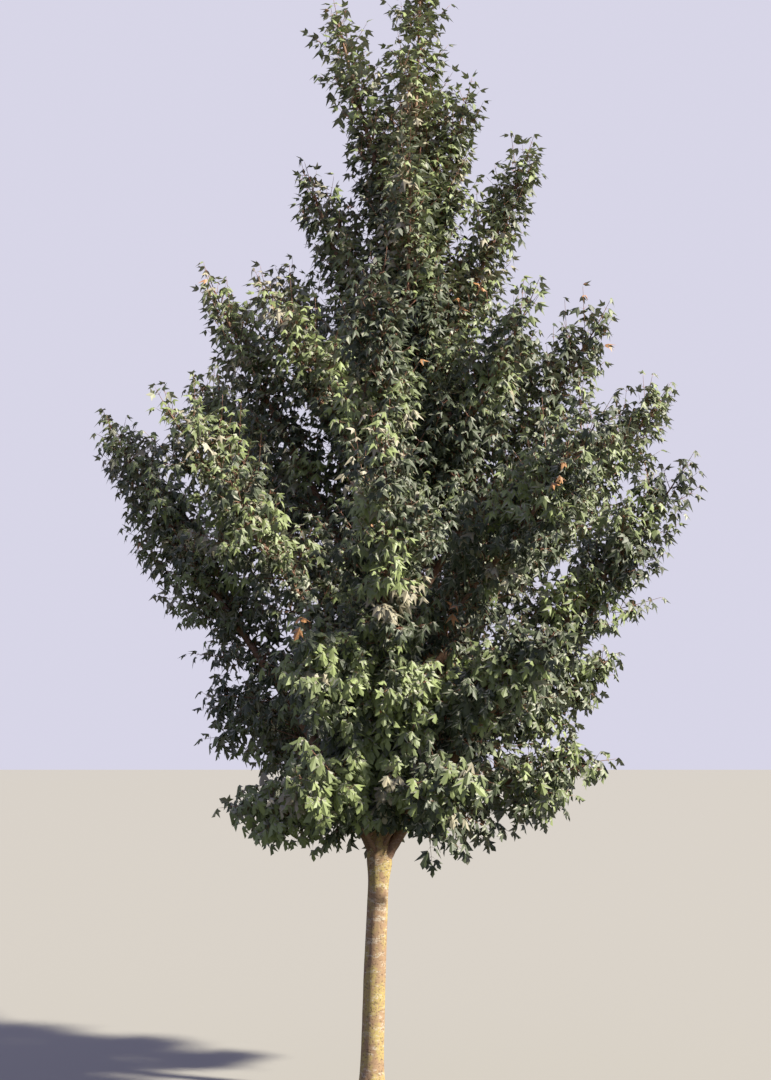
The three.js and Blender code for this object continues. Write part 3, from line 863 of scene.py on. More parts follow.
# %% [markdown]
# A direction on a plant is best given from the stem that bears it: so far round the
# stem, and at such an angle to it. These helpers turn that into a direction in space,
# and find places on the leafy stem of a limb. Plumes narrow towards their tips.

# %% Headings
PLUME_TAPER = 0.5
PLUME_POWER = 2


def side_of(along, turn):
    """The direction square to a line, at a turn round it."""
    level, rise = (v[0] for v in square_to(along[None]))
    return math.cos(turn) * level + math.sin(turn) * rise


def aimed(along, angle, turn, lift):
    """A heading at an angle to a line, turned round it, and lifted a little."""
    return unit(math.cos(angle) * along + math.sin(angle) * side_of(along, turn) + UP * lift)


def on_stem(limb, share):
    """The place and direction at a share of a limb's leafy stem."""
    step = min(int(share * STEM_STEPS), STEM_STEPS - 1)
    start, end = limb.knots[step], limb.knots[step + 1]
    return mix(start, end, share * STEM_STEPS - step), unit(end - start)


def plume_width(limb, share):
    """Half the width of a limb's plume at a share of its stem."""
    return limb.spread * (1 - PLUME_TAPER * share**PLUME_POWER)


def around(middle, spread, chance):
    """A value drawn evenly from a range about the middle one."""
    return middle + spread * (chance() - 0.5)


widths = [round(plume_width(limbs[0], share), 2) for share in (0, 0.5, 1)]
print("half width of the first plume at its start, middle and tip:", widths)

# %% [markdown]
# Light shows a crown as clumps of bright sprays with dark hollows between them. Each
# spray gets one plain colour, its tint, and the tints paint part of that light and
# shade. A smooth field of waves says where the hollows are, and a few deep ones are
# listed: there the leaves are deep green as painted shade. Near the trunk the deep
# green is partly the darker green of shade leaves and partly painted shade. Elsewhere
# a draw decides between fresh and mid green: more fresh leaves low down are painted
# light, more deep ones inside the plumes and on the right are painted shade, and more
# creamy grey ones high up and on the left are a painted sheen. A very few young leaves
# are bronze.

# %% Tints of the sprays
TINTS = ("deep", "mid", "fresh", "grey", "bronze")
DEEP, MID, FRESH, PAINTED_SHEEN, BRONZE = range(len(TINTS))
# More fresh green low than high: a real spread of tones, with more of it low down as painted light.
FRESH_SHARES = (0.5, 0.30)
OUTER_FRESH = 0.15
# Share of creamy grey painted sheen, low and high in the crown, less of it on the right.
PAINTED_SHEEN_SHARES = (0.02, 0.34)
# Share of deep green in sprays inside the crown or in the field's hollows: painted shade, partly the
# darker green of shade leaves.
PAINTED_SHADE_DEEP = 0.9
# More deep green inside each plume than at its tips: painted shade, partly the darker green of shade
# leaves.
MID_BELOW = (0.66, 0.95)
# On the right of the crown, less fresh and more deep green: painted shade.
RIGHT_SIDE = 0.8
RIGHT_PAINTED_SHADE_FRESH = 0.6
RIGHT_PAINTED_SHADE = 0.16
OWN_TINT = 0.3
BRONZE_SHARE = 0.008
# The waves of a smooth field, and the levels and spots where sprays get deep green as painted shade.
PAINTED_SHADE_SEED = 3
PAINTED_SHADE_SIZES = (0.20, 0.24, 0.28, 0.33, 0.39, 0.46)
PAINTED_SHADE_HEIGHTS = (1.2, 3.8, 4.6, TREE_HEIGHT)
PAINTED_SHADE_LEVELS = (-1.1, -0.1, -0.7, -1.2)
PAINTED_SHADE_SPOTS = (
    (0.38, 3.30, 0.28), (0.16, 3.90, 0.22), (0.28, 3.60, 0.20),
    (0.30, 2.90, 0.20), (-0.42, 3.45, 0.20),
)

painted_shade_rng = np.random.default_rng(PAINTED_SHADE_SEED)
PAINTED_SHADE_WAVES = [
    (unit(painted_shade_rng.normal(0, 1, 3)) * 2 * math.pi / size, painted_shade_rng.uniform(0, 2 * math.pi))
    for size in PAINTED_SHADE_SIZES
]


def painted_shade_field(place):
    """A smooth field through the crown, low where sprays get painted shade between lit clumps."""
    waves = sum(math.sin(place @ wave + phase) for wave, phase in PAINTED_SHADE_WAVES)
    return waves / math.sqrt(len(PAINTED_SHADE_WAVES) / 2)


def in_painted_shade(place):
    """Whether a place gets painted shade: low in the field, or in one of the listed spots."""
    hollow = painted_shade_field(place) < np.interp(place[2], PAINTED_SHADE_HEIGHTS, PAINTED_SHADE_LEVELS)
    return hollow or any(math.hypot(place[0] - x, place[2] - z) < r for x, z, r in PAINTED_SHADE_SPOTS)


def pick_tint(share, place, chance):
    """A spray's tint from its share out and its place, with painted shade, sheen and light."""
    dice = chance()
    high = place[2] / TREE_HEIGHT
    right = min(max(place[0] / RIGHT_SIDE, 0), 1)
    # Painted shade: sprays inside the crown and in the hollows are mostly deep green.
    if share == 0 or in_painted_shade(place):
        return DEEP if dice < PAINTED_SHADE_DEEP else MID
    # Painted sheen: creamy grey, more often high up and on the left.
    if dice > 1 - mix(*PAINTED_SHEEN_SHARES, high) * (1 - right):
        return PAINTED_SHEEN
    # Fresh green, more of it low down as painted light and less on the right as painted shade.
    if dice < (mix(*FRESH_SHARES, high) + OUTER_FRESH * share) * mix(1, RIGHT_PAINTED_SHADE_FRESH, right):
        return FRESH
    # Painted shade: deep green, more of it inside the plumes and on the right.
    return MID if dice < mix(*MID_BELOW, share) - RIGHT_PAINTED_SHADE * right else DEEP


def shoot_tints(tint, share, place, chance):
    """The tint of a side shoot and of its youngest leaves, near its spray's own."""
    if chance() < OWN_TINT:
        tint = pick_tint(share, place, chance)
    young = BRONZE if chance() < BRONZE_SHARE else tint
    return tint, young


sample_chance = random_from(0)
sample = []
for k in range(300):
    place = np.array([mix(-1, 1, sample_chance()), -0.8, mix(1.5, 5, sample_chance())])
    sample.append(pick_tint(0.8, place, sample_chance))
print("of 300 sprays in front:", {name: sample.count(k) for k, name in enumerate(TINTS)})

# %% [markdown]
# The crown has some ten thousand shoots and fifty thousand leaves. While they grow, a
# collector only notes them as numbers, and the meshes are made from its lists at the
# end. Leaves stand in opposite pairs along a shoot, smaller towards its tip, with one
# leaf at the very end.

# %% Leaves along a shoot
LEAF_ANGLE_DEG = 58
LEAF_ANGLE_SPREAD_DEG = 24
LEAF_TURN_SPREAD = 0.5
LEAF_SIZES = (0.75, 1.15)
YOUNG_SIZE = 0.66
TIP_LEAF_SIZE = 0.62
GAP_SIZES = (0.8, 1.2)
LAST_GAP = 0.012


class Growth:
    """Collects the shoots and leaves of the whole crown."""

    def __init__(self):
        self.lines, self.radii, self.shoot_limb, self.is_side = [], [], [], []
        self.roots, self.ways, self.sizes = [], [], []
        self.tints, self.leaf_limb = [], []

    def add_shoot(self, seed, line, radius, tip_radius, is_side):
        self.lines.append(line)
        self.is_side.append(is_side)
        self.radii.append(np.linspace(radius, tip_radius, SHOOT_POINTS))
        self.shoot_limb.append(seed)

    def add_leaf(self, seed, root, way, size, tint):
        self.roots.append(root)
        self.ways.append(way)
        self.sizes.append(size)
        self.tints.append(tint)
        self.leaf_limb.append(seed)


def leaf_pairs(growth, seed, line, start, turn, tints, chance, widen=1.0):
    """Opposite pairs of leaves along a shoot, and one leaf at its tip."""
    length = line_length(line)
    gap = internode(line[0, 2]) * widen
    full_size = leaf_size(line[0, 2])
    run = start
    while run < length - LAST_GAP:
        root, along = at_run(line, run)
        across = side_of(along, turn)
        ripe = mix(1.0, YOUNG_SIZE, run / length)
        for hand in (-1, 1):
            angle = math.radians(around(LEAF_ANGLE_DEG, LEAF_ANGLE_SPREAD_DEG, chance))
            way = unit(math.cos(angle) * along + math.sin(angle) * hand * across)
            size = full_size * ripe * mix(*LEAF_SIZES, chance())
            growth.add_leaf(seed, root, way, size, tints[int(run > length - gap)])
        turn += around(math.pi / 2, LEAF_TURN_SPREAD, chance)
        run += gap * mix(*GAP_SIZES, chance())
    growth.add_leaf(seed, line[-1], unit(line[-1] - line[-2]), full_size * TIP_LEAF_SIZE, tints[1])


trial = Growth()
leaf_pairs(trial, 0, sample_twig, 0.05, 0.0, (MID, MID), random_from(0))
print("leaves on the twig from before:", len(trial.sizes))

# %% [markdown]
# A spray is one twig with what grows on it. Its inner part bears side shoots in pairs,
# each with its own leaves, and its outer part bears leaves only. Side shoots hang a
# little low in the crown and stand up near the top, as the weight of big leaves pulls
# them down while the light at the top draws them up.

# %% Sprays
FIRST_LEAVES = 0.05
SHOOTS_UP_TO = 0.62
SIDE_SHOOT_DEG = 50
SIDE_SHOOT_SPREAD_DEG = 20
SIDE_SHOOT_LIFT = 0.1
SIDE_REACH = (0.45, 0.75)
LONGEST_SIDE_SHOOT = 0.22
SIDE_SHOOT_GIRTH = 0.5
SIDE_TIP_GIRTH = 0.8
SIDE_LEAFLESS = 0.3
SIDE_SPACING = 1.5
SIDE_SPACING_SIZES = (0.85, 1.2)
SIDE_BEND = (-0.35, 1.3)


def grow_spray(growth, limb, line, radius, share, chance, anywhere=False):
    """A twig along the line, with side shoots on its inner part and leaves."""
    seed = limb.seed
    place = line[SHOOT_POINTS // 2]
    tint = pick_tint(share, place, chance)
    line = kept_line(seed, line, anywhere)
    if line is None:
        return
    length = line_length(line)
    bend = mix(*SIDE_BEND, line[0, 2] / TREE_HEIGHT)
    growth.add_shoot(seed, line, radius, FINE_TWIG_RADIUS, is_side=False)
    turn = chance() * math.pi
    run = FIRST_LEAVES
    while run < SHOOTS_UP_TO * length:
        node, along = at_run(line, run)
        across = side_of(along, turn)
        for hand in (-1, 1):
            angle = math.radians(around(SIDE_SHOOT_DEG, SIDE_SHOOT_SPREAD_DEG, chance))
            way = math.cos(angle) * along + math.sin(angle) * hand * across
            reach = min((length - run) * mix(*SIDE_REACH, chance()), LONGEST_SIDE_SHOOT)
            side = bent_line(node, unit(way + SIDE_SHOOT_LIFT * UP), reach, bend)
            side = kept_line(seed, side, anywhere)
            if side is None:
                continue
            girths = radius * SIDE_SHOOT_GIRTH, FINE_TWIG_RADIUS * SIDE_TIP_GIRTH
            growth.add_shoot(seed, side, *girths, is_side=True)
            tints = shoot_tints(tint, share, place, chance)
            start = SIDE_LEAFLESS * reach
            leaf_pairs(growth, seed, side, start, chance() * math.pi, tints, chance)
        turn += math.pi / 2
        run += internode(node[2]) * SIDE_SPACING * mix(*SIDE_SPACING_SIZES, chance())
    leaf_pairs(growth, seed, line, run, turn, shoot_tints(tint, share, place, chance), chance)


trial = Growth()
grow_spray(trial, limbs[0], sample_twig, TWIG_RADIUS, 1, random_from(0), anywhere=True)
print("as a spray it has", len(trial.lines), "shoots and", len(trial.sizes), "leaves")

# %% [markdown]
# First come the twigs of the source. The rule and its draws are the ones that grew the
# solids, in the same order, so every spray stands where the solid has a large leaf.

# %% Twigs of the source
NODE_SPACING = 0.117
PAIR_OFFSET = 0.014
FIRST_NODE = 0.35
TWIG_ANGLE_DEG = 56
ANGLE_SPREAD_DEG = 18
TURN_SPREAD = 0.7
LEAST_STRETCH = 0.85
STRETCH_SPREAD = 0.3
TWIG_LIFT = 0.2
TWIG_LENGTHS = (1, 0.6)
TWIG_TO_STEM = 0.4


def grow_source_twigs(growth, limb, draw, chance):
    """The rule that grew the solids, with a spray in place of each large leaf."""
    stem_length = line_length(limb.knots)
    nodes = round(stem_length * (1 - limb.leafless) / NODE_SPACING)
    first_turn = draw() * math.pi
    for k in range(nodes):
        for side in range(2):
            pair = side * PAIR_OFFSET / stem_length
            share = limb.leafless + (k + FIRST_NODE) / nodes * (1 - limb.leafless) + pair
            at, along = on_stem(limb, share)
            girth = float(limb_radius(limb, mix(limb.bare, 1, share)))
            turn = first_turn + k * math.pi / 2 + side * math.pi + (draw() - 0.5) * TURN_SPREAD
            angle = math.radians(TWIG_ANGLE_DEG + (draw() - 0.5) * ANGLE_SPREAD_DEG)
            stretch = LEAST_STRETCH + STRETCH_SPREAD * draw()
            draw()  # the lean of the solid's large leaf, which a spray has no use for
            heading = aimed(along, angle, turn, TWIG_LIFT)
            full = plume_width(limb, share) / math.sin(angle) * stretch * TWIG_LENGTHS[(k + side) % 2]
            line = twig_line(at, heading, max(SOLID_LEAF, full), share)
            radius = min(TWIG_RADIUS, girth * TWIG_TO_STEM)
            grow_spray(growth, limb, line, radius, share, chance)


trial = Growth()
grow_source_twigs(trial, limbs[0], random_from(0), random_from(1))
print("the first limb's own twigs bear", len(trial.sizes), "leaves")

# %% [markdown]
# Between the twigs of the source there is room for more, as a real limb has far more
# twigs than a solid can show. Shorter sprays leave the stem there, at less regular
# angles.

# %% Sprays between
BETWEEN_NODE = 0.85
BETWEEN_OFFSET = 0.1
BETWEEN_LAST = 0.99
BETWEEN_ANGLES_DEG = (44, 66)
BETWEEN_REACH = (0.7, 1.2)
BETWEEN_GIRTH = 0.6
STEM_TURN_SPREAD = 0.4


def grow_between(growth, limb, chance):
    """Shorter sprays between those of the source."""
    nodes = round(line_length(limb.knots) / NODE_SPACING)
    turn = chance() * math.pi
    for k in range(nodes):
        turn += around(math.pi / 2, STEM_TURN_SPREAD, chance)
        for side in range(2):
            share = (k + BETWEEN_NODE + BETWEEN_OFFSET * side) / nodes
            if share > BETWEEN_LAST:
                continue
            at, along = on_stem(limb, share)
            angle = math.radians(mix(*BETWEEN_ANGLES_DEG, chance()))
            heading = aimed(along, angle, turn + side * math.pi, TWIG_LIFT)
            full = plume_width(limb, share) * mix(*BETWEEN_REACH, chance())
            line = twig_line(at, heading, full, share)
            grow_spray(growth, limb, line, TWIG_RADIUS * BETWEEN_GIRTH, share, chance)


trial = Growth()
grow_between(trial, limbs[0], random_from(0))
print("the sprays between them bear", len(trial.sizes), "leaves")

# %% [markdown]
# A limb also has leaves near the trunk, where its solid is a bare bough. Small branches
# grow there in pairs, and close the inside of the crown. They may cross the spaces of
# other plumes, as nothing but leaves is there to meet.

# %% Inner branches
INNER_POINTS = 12
INNER_SPACING = 0.13
INNER_REACH = (0.30, 0.52)
INNER_ANGLES_DEG = (40, 70)
INNER_LIFT = 0.3
INNER_FROM = 0.24
LOW_INNER_FROM = 0.4


def grow_inner(growth, limb, chance):
    """Leafy branches on the stretch of a limb between the trunk and its plume."""
    if limb.name == "leader":
        return
    turn = chance() * math.pi
    inner_share = limb.bare if limb.bare > 0 else SHADED_SHARE
    bare_line = evenly(limb.controls, 0, inner_share, INNER_POINTS)
    length = line_length(bare_line)
    run = length * (LOW_INNER_FROM if limb.name.startswith("low_") else INNER_FROM)
    while run < length:
        at, along = at_run(bare_line, run)
        for side in range(2):
            angle = math.radians(mix(*INNER_ANGLES_DEG, chance()))
            heading = aimed(along, angle, turn + side * math.pi, INNER_LIFT)
            line = twig_line(at, heading, mix(*INNER_REACH, chance()))
            grow_spray(growth, limb, line, TWIG_RADIUS, 0, chance, anywhere=True)
        turn += around(math.pi / 2, STEM_TURN_SPREAD, chance)
        run += INNER_SPACING


trial = Growth()
grow_inner(trial, limbs[0], random_from(0))
print("the first limb's inner branches bear", len(trial.sizes), "leaves")

# %% [markdown]
# The stem's own leading shoot goes on to the limb's tip. Slim upright shoots stand up
# from the top of the plume, with their leaves in widely spaced pairs, and give the crown
# its ragged edge.


# %% Leading and upright shoots
def grow_tip(growth, limb, chance):
    """The stem's own leading shoot, up to the limb's tip."""
    if limb.name == "leader":
        start, along = on_stem(limb, 1)
        line = start + along * np.linspace(0, SOLID_TIP_ROOM - LEAF_ROOM, SHOOT_POINTS)[:, None]
    else:
        line = evenly(limb.controls, limb.stem_end, 1 - LEAF_ROOM / limb.length, SHOOT_POINTS)
    grow_spray(growth, limb, line, LIMB_TIP_RADIUS, 1, chance)


UPRIGHT_FROM = 1.6
UPRIGHT_SHARES = (0.4, 0.55, 0.7, 0.85, 1.0)
UPRIGHT_EXTRA = (0.04, 0.18)
UPRIGHT_LEAFLESS = 0.4
UPRIGHT_GAP = 1.6
UPRIGHT_GIRTH = 0.7
UPRIGHT_BEND = 2.0
UPRIGHT_LEAN = 0.6
UPRIGHT_SPREAD = 1.1
LEVEL = np.array([1, 1, 0])


def grow_upright(growth, limb, chance):
    """Slim shoots that stand up from the top of a plume."""
    if limb.start < UPRIGHT_FROM:
        return
    for share in UPRIGHT_SHARES:
        at, along = on_stem(limb, share)
        aside = np.array([chance() - 0.5, chance() - 0.5, 0.0])
        heading = unit(UP + UPRIGHT_LEAN * along * LEVEL + UPRIGHT_SPREAD * aside)
        length = plume_width(limb, share) + mix(*UPRIGHT_EXTRA, chance())
        line = kept_line(limb.seed, bent_line(at, heading, length, UPRIGHT_BEND))
        if line is None:
            continue
        radius = TWIG_RADIUS * UPRIGHT_GIRTH
        growth.add_shoot(limb.seed, line, radius, FINE_TWIG_RADIUS, is_side=False)
        place = line[SHOOT_POINTS // 2]
        tints = shoot_tints(pick_tint(share, place, chance), share, place, chance)
        first = UPRIGHT_LEAFLESS * line_length(line)
        leaf_pairs(growth, limb.seed, line, first, chance() * math.pi, tints, chance, UPRIGHT_GAP)


trial = Growth()
grow_upright(trial, limbs[-2], random_from(0))
print("upright shoots on a limb of the crest:", len(trial.lines))

# %% [markdown]
# Leafy branches also grow straight from the trunk. They close the middle of the crown,
# where a ring of plumes alone would leave a hollow core. Their leaves are in the shade
# low down and in the sun near the top, where the crown is slim.

# %% Shoots from the trunk
TRUNK_SHOOTS_FROM = 1.22
TRUNK_SHOOT_SPACING = 0.058
TRUNK_SHOOT_HEIGHTS = (1.2, 2.0, 3.2, 4.2, TRUNK_TIP_HEIGHT)
TRUNK_SHOOT_LENGTHS = (0.36, 0.66, 0.82, 0.60, 0.44)
TRUNK_SHOOT_SIZES = (0.8, 1.15)
TRUNK_SHOOT_ANGLES_DEG = (40, 62)
TRUNK_SHOOT_LIFT = 0.1
TRUNK_TURN_SPREAD = 0.5
SHADE_AND_SUN = (3.6, 5.0)


def nearest_limb(place):
    """The limb whose plume has the most room round a place."""
    return limbs[int(np.argmin(room_left(place[None])[0]))]


def grow_trunk_shoots(growth, chance):
    """Leafy branches straight from the trunk, inside the crown."""
    height = TRUNK_SHOOTS_FROM
    turn = 0.0
    while height < TRUNK_TIP_HEIGHT:
        for side in range(2):
            angle = math.radians(mix(*TRUNK_SHOOT_ANGLES_DEG, chance()))
            heading = aimed(UP, angle, turn + side * math.pi, TRUNK_SHOOT_LIFT)
            reach = float(np.interp(height, TRUNK_SHOOT_HEIGHTS, TRUNK_SHOOT_LENGTHS))
            reach *= mix(*TRUNK_SHOOT_SIZES, chance())
            line = twig_line(trunk_axis(height), heading, reach)
            share = float(np.interp(height, SHADE_AND_SUN, (0, 1)))
            owner = nearest_limb(line[-1])
            grow_spray(growth, owner, line, TWIG_RADIUS, share, chance, anywhere=True)
        turn += around(math.pi / 2, TRUNK_TURN_SPREAD, chance)
        height += TRUNK_SHOOT_SPACING


trial = Growth()
grow_trunk_shoots(trial, random_from(0))
print("trunk shoots bear some", round(len(trial.sizes), -2), "leaves")

# %% [markdown]
# At the front, the lower crown bulges towards the viewer between two plumes. A row of
# longer branches fills it. They turn to the left and to the right in turn, so that they
# overlap like the tiles of a roof.

# %% Branches at the front
FRONT_SHOOT_HEIGHTS = np.arange(1.32, 2.2, 0.05)
FRONT_TURN_DEG = 266
FRONT_TURN_SPREAD_DEG = 20
FRONT_TURN_SHARES = (0.2, 1)
FRONT_RISES = (0.35, 0.7)
FRONT_LENGTHS = (0.72, 1.16)
FRONT_BEND = 0.1
FRONT_SHARE = 0.9


def grow_front_shoots(growth, chance):
    """Branches that fill the middle of the crown's lower front, between the plumes."""
    for k, height in enumerate(FRONT_SHOOT_HEIGHTS):
        aside = FRONT_TURN_SPREAD_DEG * (-1) ** k * mix(*FRONT_TURN_SHARES, chance())
        turn = math.radians(FRONT_TURN_DEG + aside)
        heading = np.array([math.cos(turn), math.sin(turn), mix(*FRONT_RISES, chance())])
        length = mix(*FRONT_LENGTHS, chance())
        line = bent_line(trunk_axis(height), unit(heading), length, FRONT_BEND)
        owner = nearest_limb(line[-1])
        grow_spray(growth, owner, line, TWIG_RADIUS, FRONT_SHARE, chance, anywhere=True)


print("branches low on the front:", len(FRONT_SHOOT_HEIGHTS))

# %% [markdown]
# Everything is ready to grow the crown. Each limb has its own stream of chance, so that
# a change to one limb leaves all the others as they are.

# %% Grow the crown
LIMB_SEEDS = 1000
TRUNK_SHOOT_SEED = 2000
FRONT_SHOOT_SEED = 3000

growth = Growth()
for limb in limbs:
    chance = random_from(LIMB_SEEDS + limb.seed)
    grow_source_twigs(growth, limb, random_from(limb.seed), chance)
    grow_between(growth, limb, chance)
    grow_inner(growth, limb, chance)
    grow_tip(growth, limb, chance)
    grow_upright(growth, limb, chance)
grow_trunk_shoots(growth, random_from(TRUNK_SHOOT_SEED))
front_from = len(growth.roots)
grow_front_shoots(growth, random_from(FRONT_SHOOT_SEED))
print("shoots:", len(growth.lines), "leaves before fitting:", len(growth.roots))

# %% [markdown]
# Every leaf hangs from a thin red stalk. The blade turns its face up and outwards to the
# light and its tip hangs down, more so low in the crown, and each one is rolled a little
# differently, so that the light picks out single leaves. All leaves are worked out
# together as arrays, since a loop over fifty thousand of them would be slow.

# %% Set the blades
BLADE_SEED = 7
STALK_SHARES = (0.29, 0.60)
STALK_RISE = (0.12, 0.15)
DROOPS = (1.6, 0.5)
DROOP_SIZES = (0.35, 1.5)
RIB_OUTWARD = 0.35
RIB_UNEVEN = 0.18
FACE_OUTWARD = (0.6, 0.05)
FACE_UNEVEN = 0.15
ROLLS_DEG = (30, 14)


def set_blades(growth):
    """Each leaf's stalk end, midrib, face and width directions, low to high in the crown."""
    rng = np.random.default_rng(BLADE_SEED)
    root = np.array(growth.roots)
    way = np.array(growth.ways)
    size = np.array(growth.sizes)
    count = len(size)
    stalk = mix(*STALK_SHARES, rng.random(count)) * size
    stalk_way = unit(way + UP * rng.normal(*STALK_RISE, (count, 1)))
    neck = root + stalk_way * stalk[:, None]
    high = root[:, 2:3] / TREE_HEIGHT
    droop = mix(*DROOPS, high) * rng.uniform(*DROOP_SIZES, (count, 1))
    outward = unit((root - trunk_axis(root[:, 2])) * LEVEL)
    rib = stalk_way + RIB_OUTWARD * outward - UP * droop
    rib = unit(rib + rng.normal(0, RIB_UNEVEN, (count, 3)))
    face = UP + mix(*FACE_OUTWARD, high) * outward
    face = unit(face + rng.normal(0, FACE_UNEVEN, (count, 3)))
    face = unit(face - (face * rib).sum(axis=1, keepdims=True) * rib)
    roll = np.radians(rng.normal(0, 1, (count, 1)) * mix(*ROLLS_DEG, high))
    across = np.cross(rib, face)
    face = unit(np.cos(roll) * face + np.sin(roll) * across)
    return SimpleNamespace(
        root=root, neck=neck, rib=rib, face=face, across=np.cross(rib, face), size=size,
        tint=np.array(growth.tints), limb=np.array(growth.leaf_limb),
    )


leaves = set_blades(growth)
print("middle blade size:", round(1000 * float(np.median(leaves.size))), "mm")

# %% [markdown]
# Leaves that would leave their plume's space, cut into the trunk or a bough, or hang
# before the fork are left out, as they are in the solids. The leaves of the front
# branches first go to the plume that they are nearest to.

# %% Leaves that fit
WOOD_MARGIN = 0.02
LEAF_OVERLAP = 0.06


def along_blades(leaves, share):
    """The point at a share of each blade's length."""
    return leaves.neck + leaves.rib * (leaves.size * share)[:, None]


def some_of(leaves, chosen):
    """The chosen leaves, with all that is known of them."""
    return SimpleNamespace(**{key: value[chosen] for key, value in vars(leaves).items()})


def fits(leaves):
    """Whether each leaf is in its plume's space and clear of the wood and the fork."""
    middle, tip = along_blades(leaves, 0.5), along_blades(leaves, 1)
    room = room_left(middle)
    rows = np.arange(len(middle))
    mine = room[rows, leaves.limb]
    room[rows, leaves.limb] = np.inf
    keep = room.min(axis=1) > mine - LEAF_OVERLAP
    keep &= clear_of_wood(middle, WOOD_MARGIN) & clear_of_wood(tip, WOOD_MARGIN)
    keep &= clear_of_fork(tip)
    return keep & (tip[:, 2] < TREE_HEIGHT)


front_middles = along_blades(leaves, 0.5)[front_from:]
leaves.limb[front_from:] = np.argmin(room_left(front_middles), axis=1)
kept = fits(leaves)
leaves = some_of(leaves, kept)
print("leaves kept:", len(leaves.size), "of", len(kept))

# %% [markdown]
# The blade has five lobes with deep notches between them: a long middle lobe, two side
# lobes and two small ones at the foot. It is a thin closed lens, folded a little along
# its midrib and curled, so the green upper side and the pale underside can be different
# materials. Its outline is drawn once for the right half and mirrored. Leaves low in the
# crown get the full outline. Farther up and at the back it has fewer corners, as there
# the eye can't tell, and over forty thousand leaves have to do with about a million
# triangles.

# %% Leaf shape
FULL_OUTLINE = [(0.33, -0.05), (0.26, 0.15), (0.56, 0.49), (0.16, 0.43), (0.24, 0.70)]
PLAIN_OUTLINE = [(0.29, -0.01), (0.28, 0.18), (0.55, 0.51), (0.16, 0.45)]
SMALL_OUTLINE = [(0.30, 0.10), (0.53, 0.52), (0.17, 0.45)]
TIER_OUTLINES = {
    "low": FULL_OUTLINE, "lower": FULL_OUTLINE,
    "sweep_sides": PLAIN_OUTLINE, "sweep_front": PLAIN_OUTLINE, "sweep_back": SMALL_OUTLINE,
    "upper_sides": SMALL_OUTLINE, "upper_front": SMALL_OUTLINE, "upper_back": SMALL_OUTLINE,
    "top": SMALL_OUTLINE,
}
BLADE_MIDDLE = 0.27
BLADE_THICKNESS = 0.012
FOLDS = (1.1, 0.6)
FOLD_SIZES = (0.3, 1.25)
CURLS = (0.05, 0.8)
WIDTHS = (0.9, 1.12)
RIPPLE = 0.2
RIPPLE_ALONG = 7
RIPPLE_ACROSS = 9
RIPPLE_SHIFT = 3


def blade_outline(half):
    """The corners all round a blade, from its stalk up the right side and back down."""
    right = [(0.0, 0.0), *half, (0.0, 1.0)]
    left = [(-x, y) for x, y in reversed(half)]
    return np.array(right + left)


def blade_mesh(leaves, half, rng):
    """Vertices, triangles and blade coordinates of all given leaves."""
    outline = blade_outline(half)
    corners = len(outline)
    count = len(leaves.size)
    flat = np.vstack([outline, [(0, BLADE_MIDDLE)]])
    high = leaves.root[:, 2:3] / TREE_HEIGHT
    fold = rng.uniform(*FOLD_SIZES, (count, 1)) * mix(*FOLDS, high)
    curl = rng.uniform(*CURLS, (count, 1))
    widen = rng.uniform(*WIDTHS, (count, 1))
    x, y = flat[:, 0][None] * widen, flat[:, 1][None]
    ripple = RIPPLE * np.sin(RIPPLE_ALONG * y + RIPPLE_ACROSS * x + RIPPLE_SHIFT * fold)
    lift = (ripple - fold) * np.abs(x) - curl * y**2
    lift[:, -1] += BLADE_THICKNESS
    local = [(x, leaves.across), (y, leaves.rib), (lift, leaves.face)]
    shape = sum(part[:, :, None] * direction[:, None] for part, direction in local)
    vertices = leaves.neck[:, None] + shape * leaves.size[:, None, None]
    ring = np.arange(corners)
    after = np.roll(ring, -1)
    top = np.stack([np.full(corners, corners), ring, after], axis=1)
    under = np.array([(0, corner + 1, corner) for corner in range(1, corners - 1)])
    pattern = np.vstack([top, under])
    faces = pattern[None] + (np.arange(count) * (corners + 1))[:, None, None]
    is_under = np.tile(np.repeat([False, True], [len(top), len(under)]), count)
    uvs = np.tile(flat + np.array([0.5, 0.0]), (count, 1))
    return vertices.reshape(-1, 3), faces.reshape(-1, 3), is_under, uvs


for tier, half in TIER_OUTLINES.items():
    print("corners of a leaf in", tier + ":", len(blade_outline(half)))

# %% [markdown]
# Each tint is a material with its own plain colour: deep green, which also serves as
# painted shade, mid and fresh green, a creamy grey as the painted sheen of leaves that
# shine in the sun, and bronze for young ones. A group adds what every blade has: paler
# veins from the stalk to each lobe, which it finds from the place on the blade, and a
# slight unevenness. The undersides are pale, silvery and matt.


# %% Leaf group
LOBES_DEG = (0, 48, 100)
VEIN_EDGE = 0.022
VEIN_CORE = 0.008


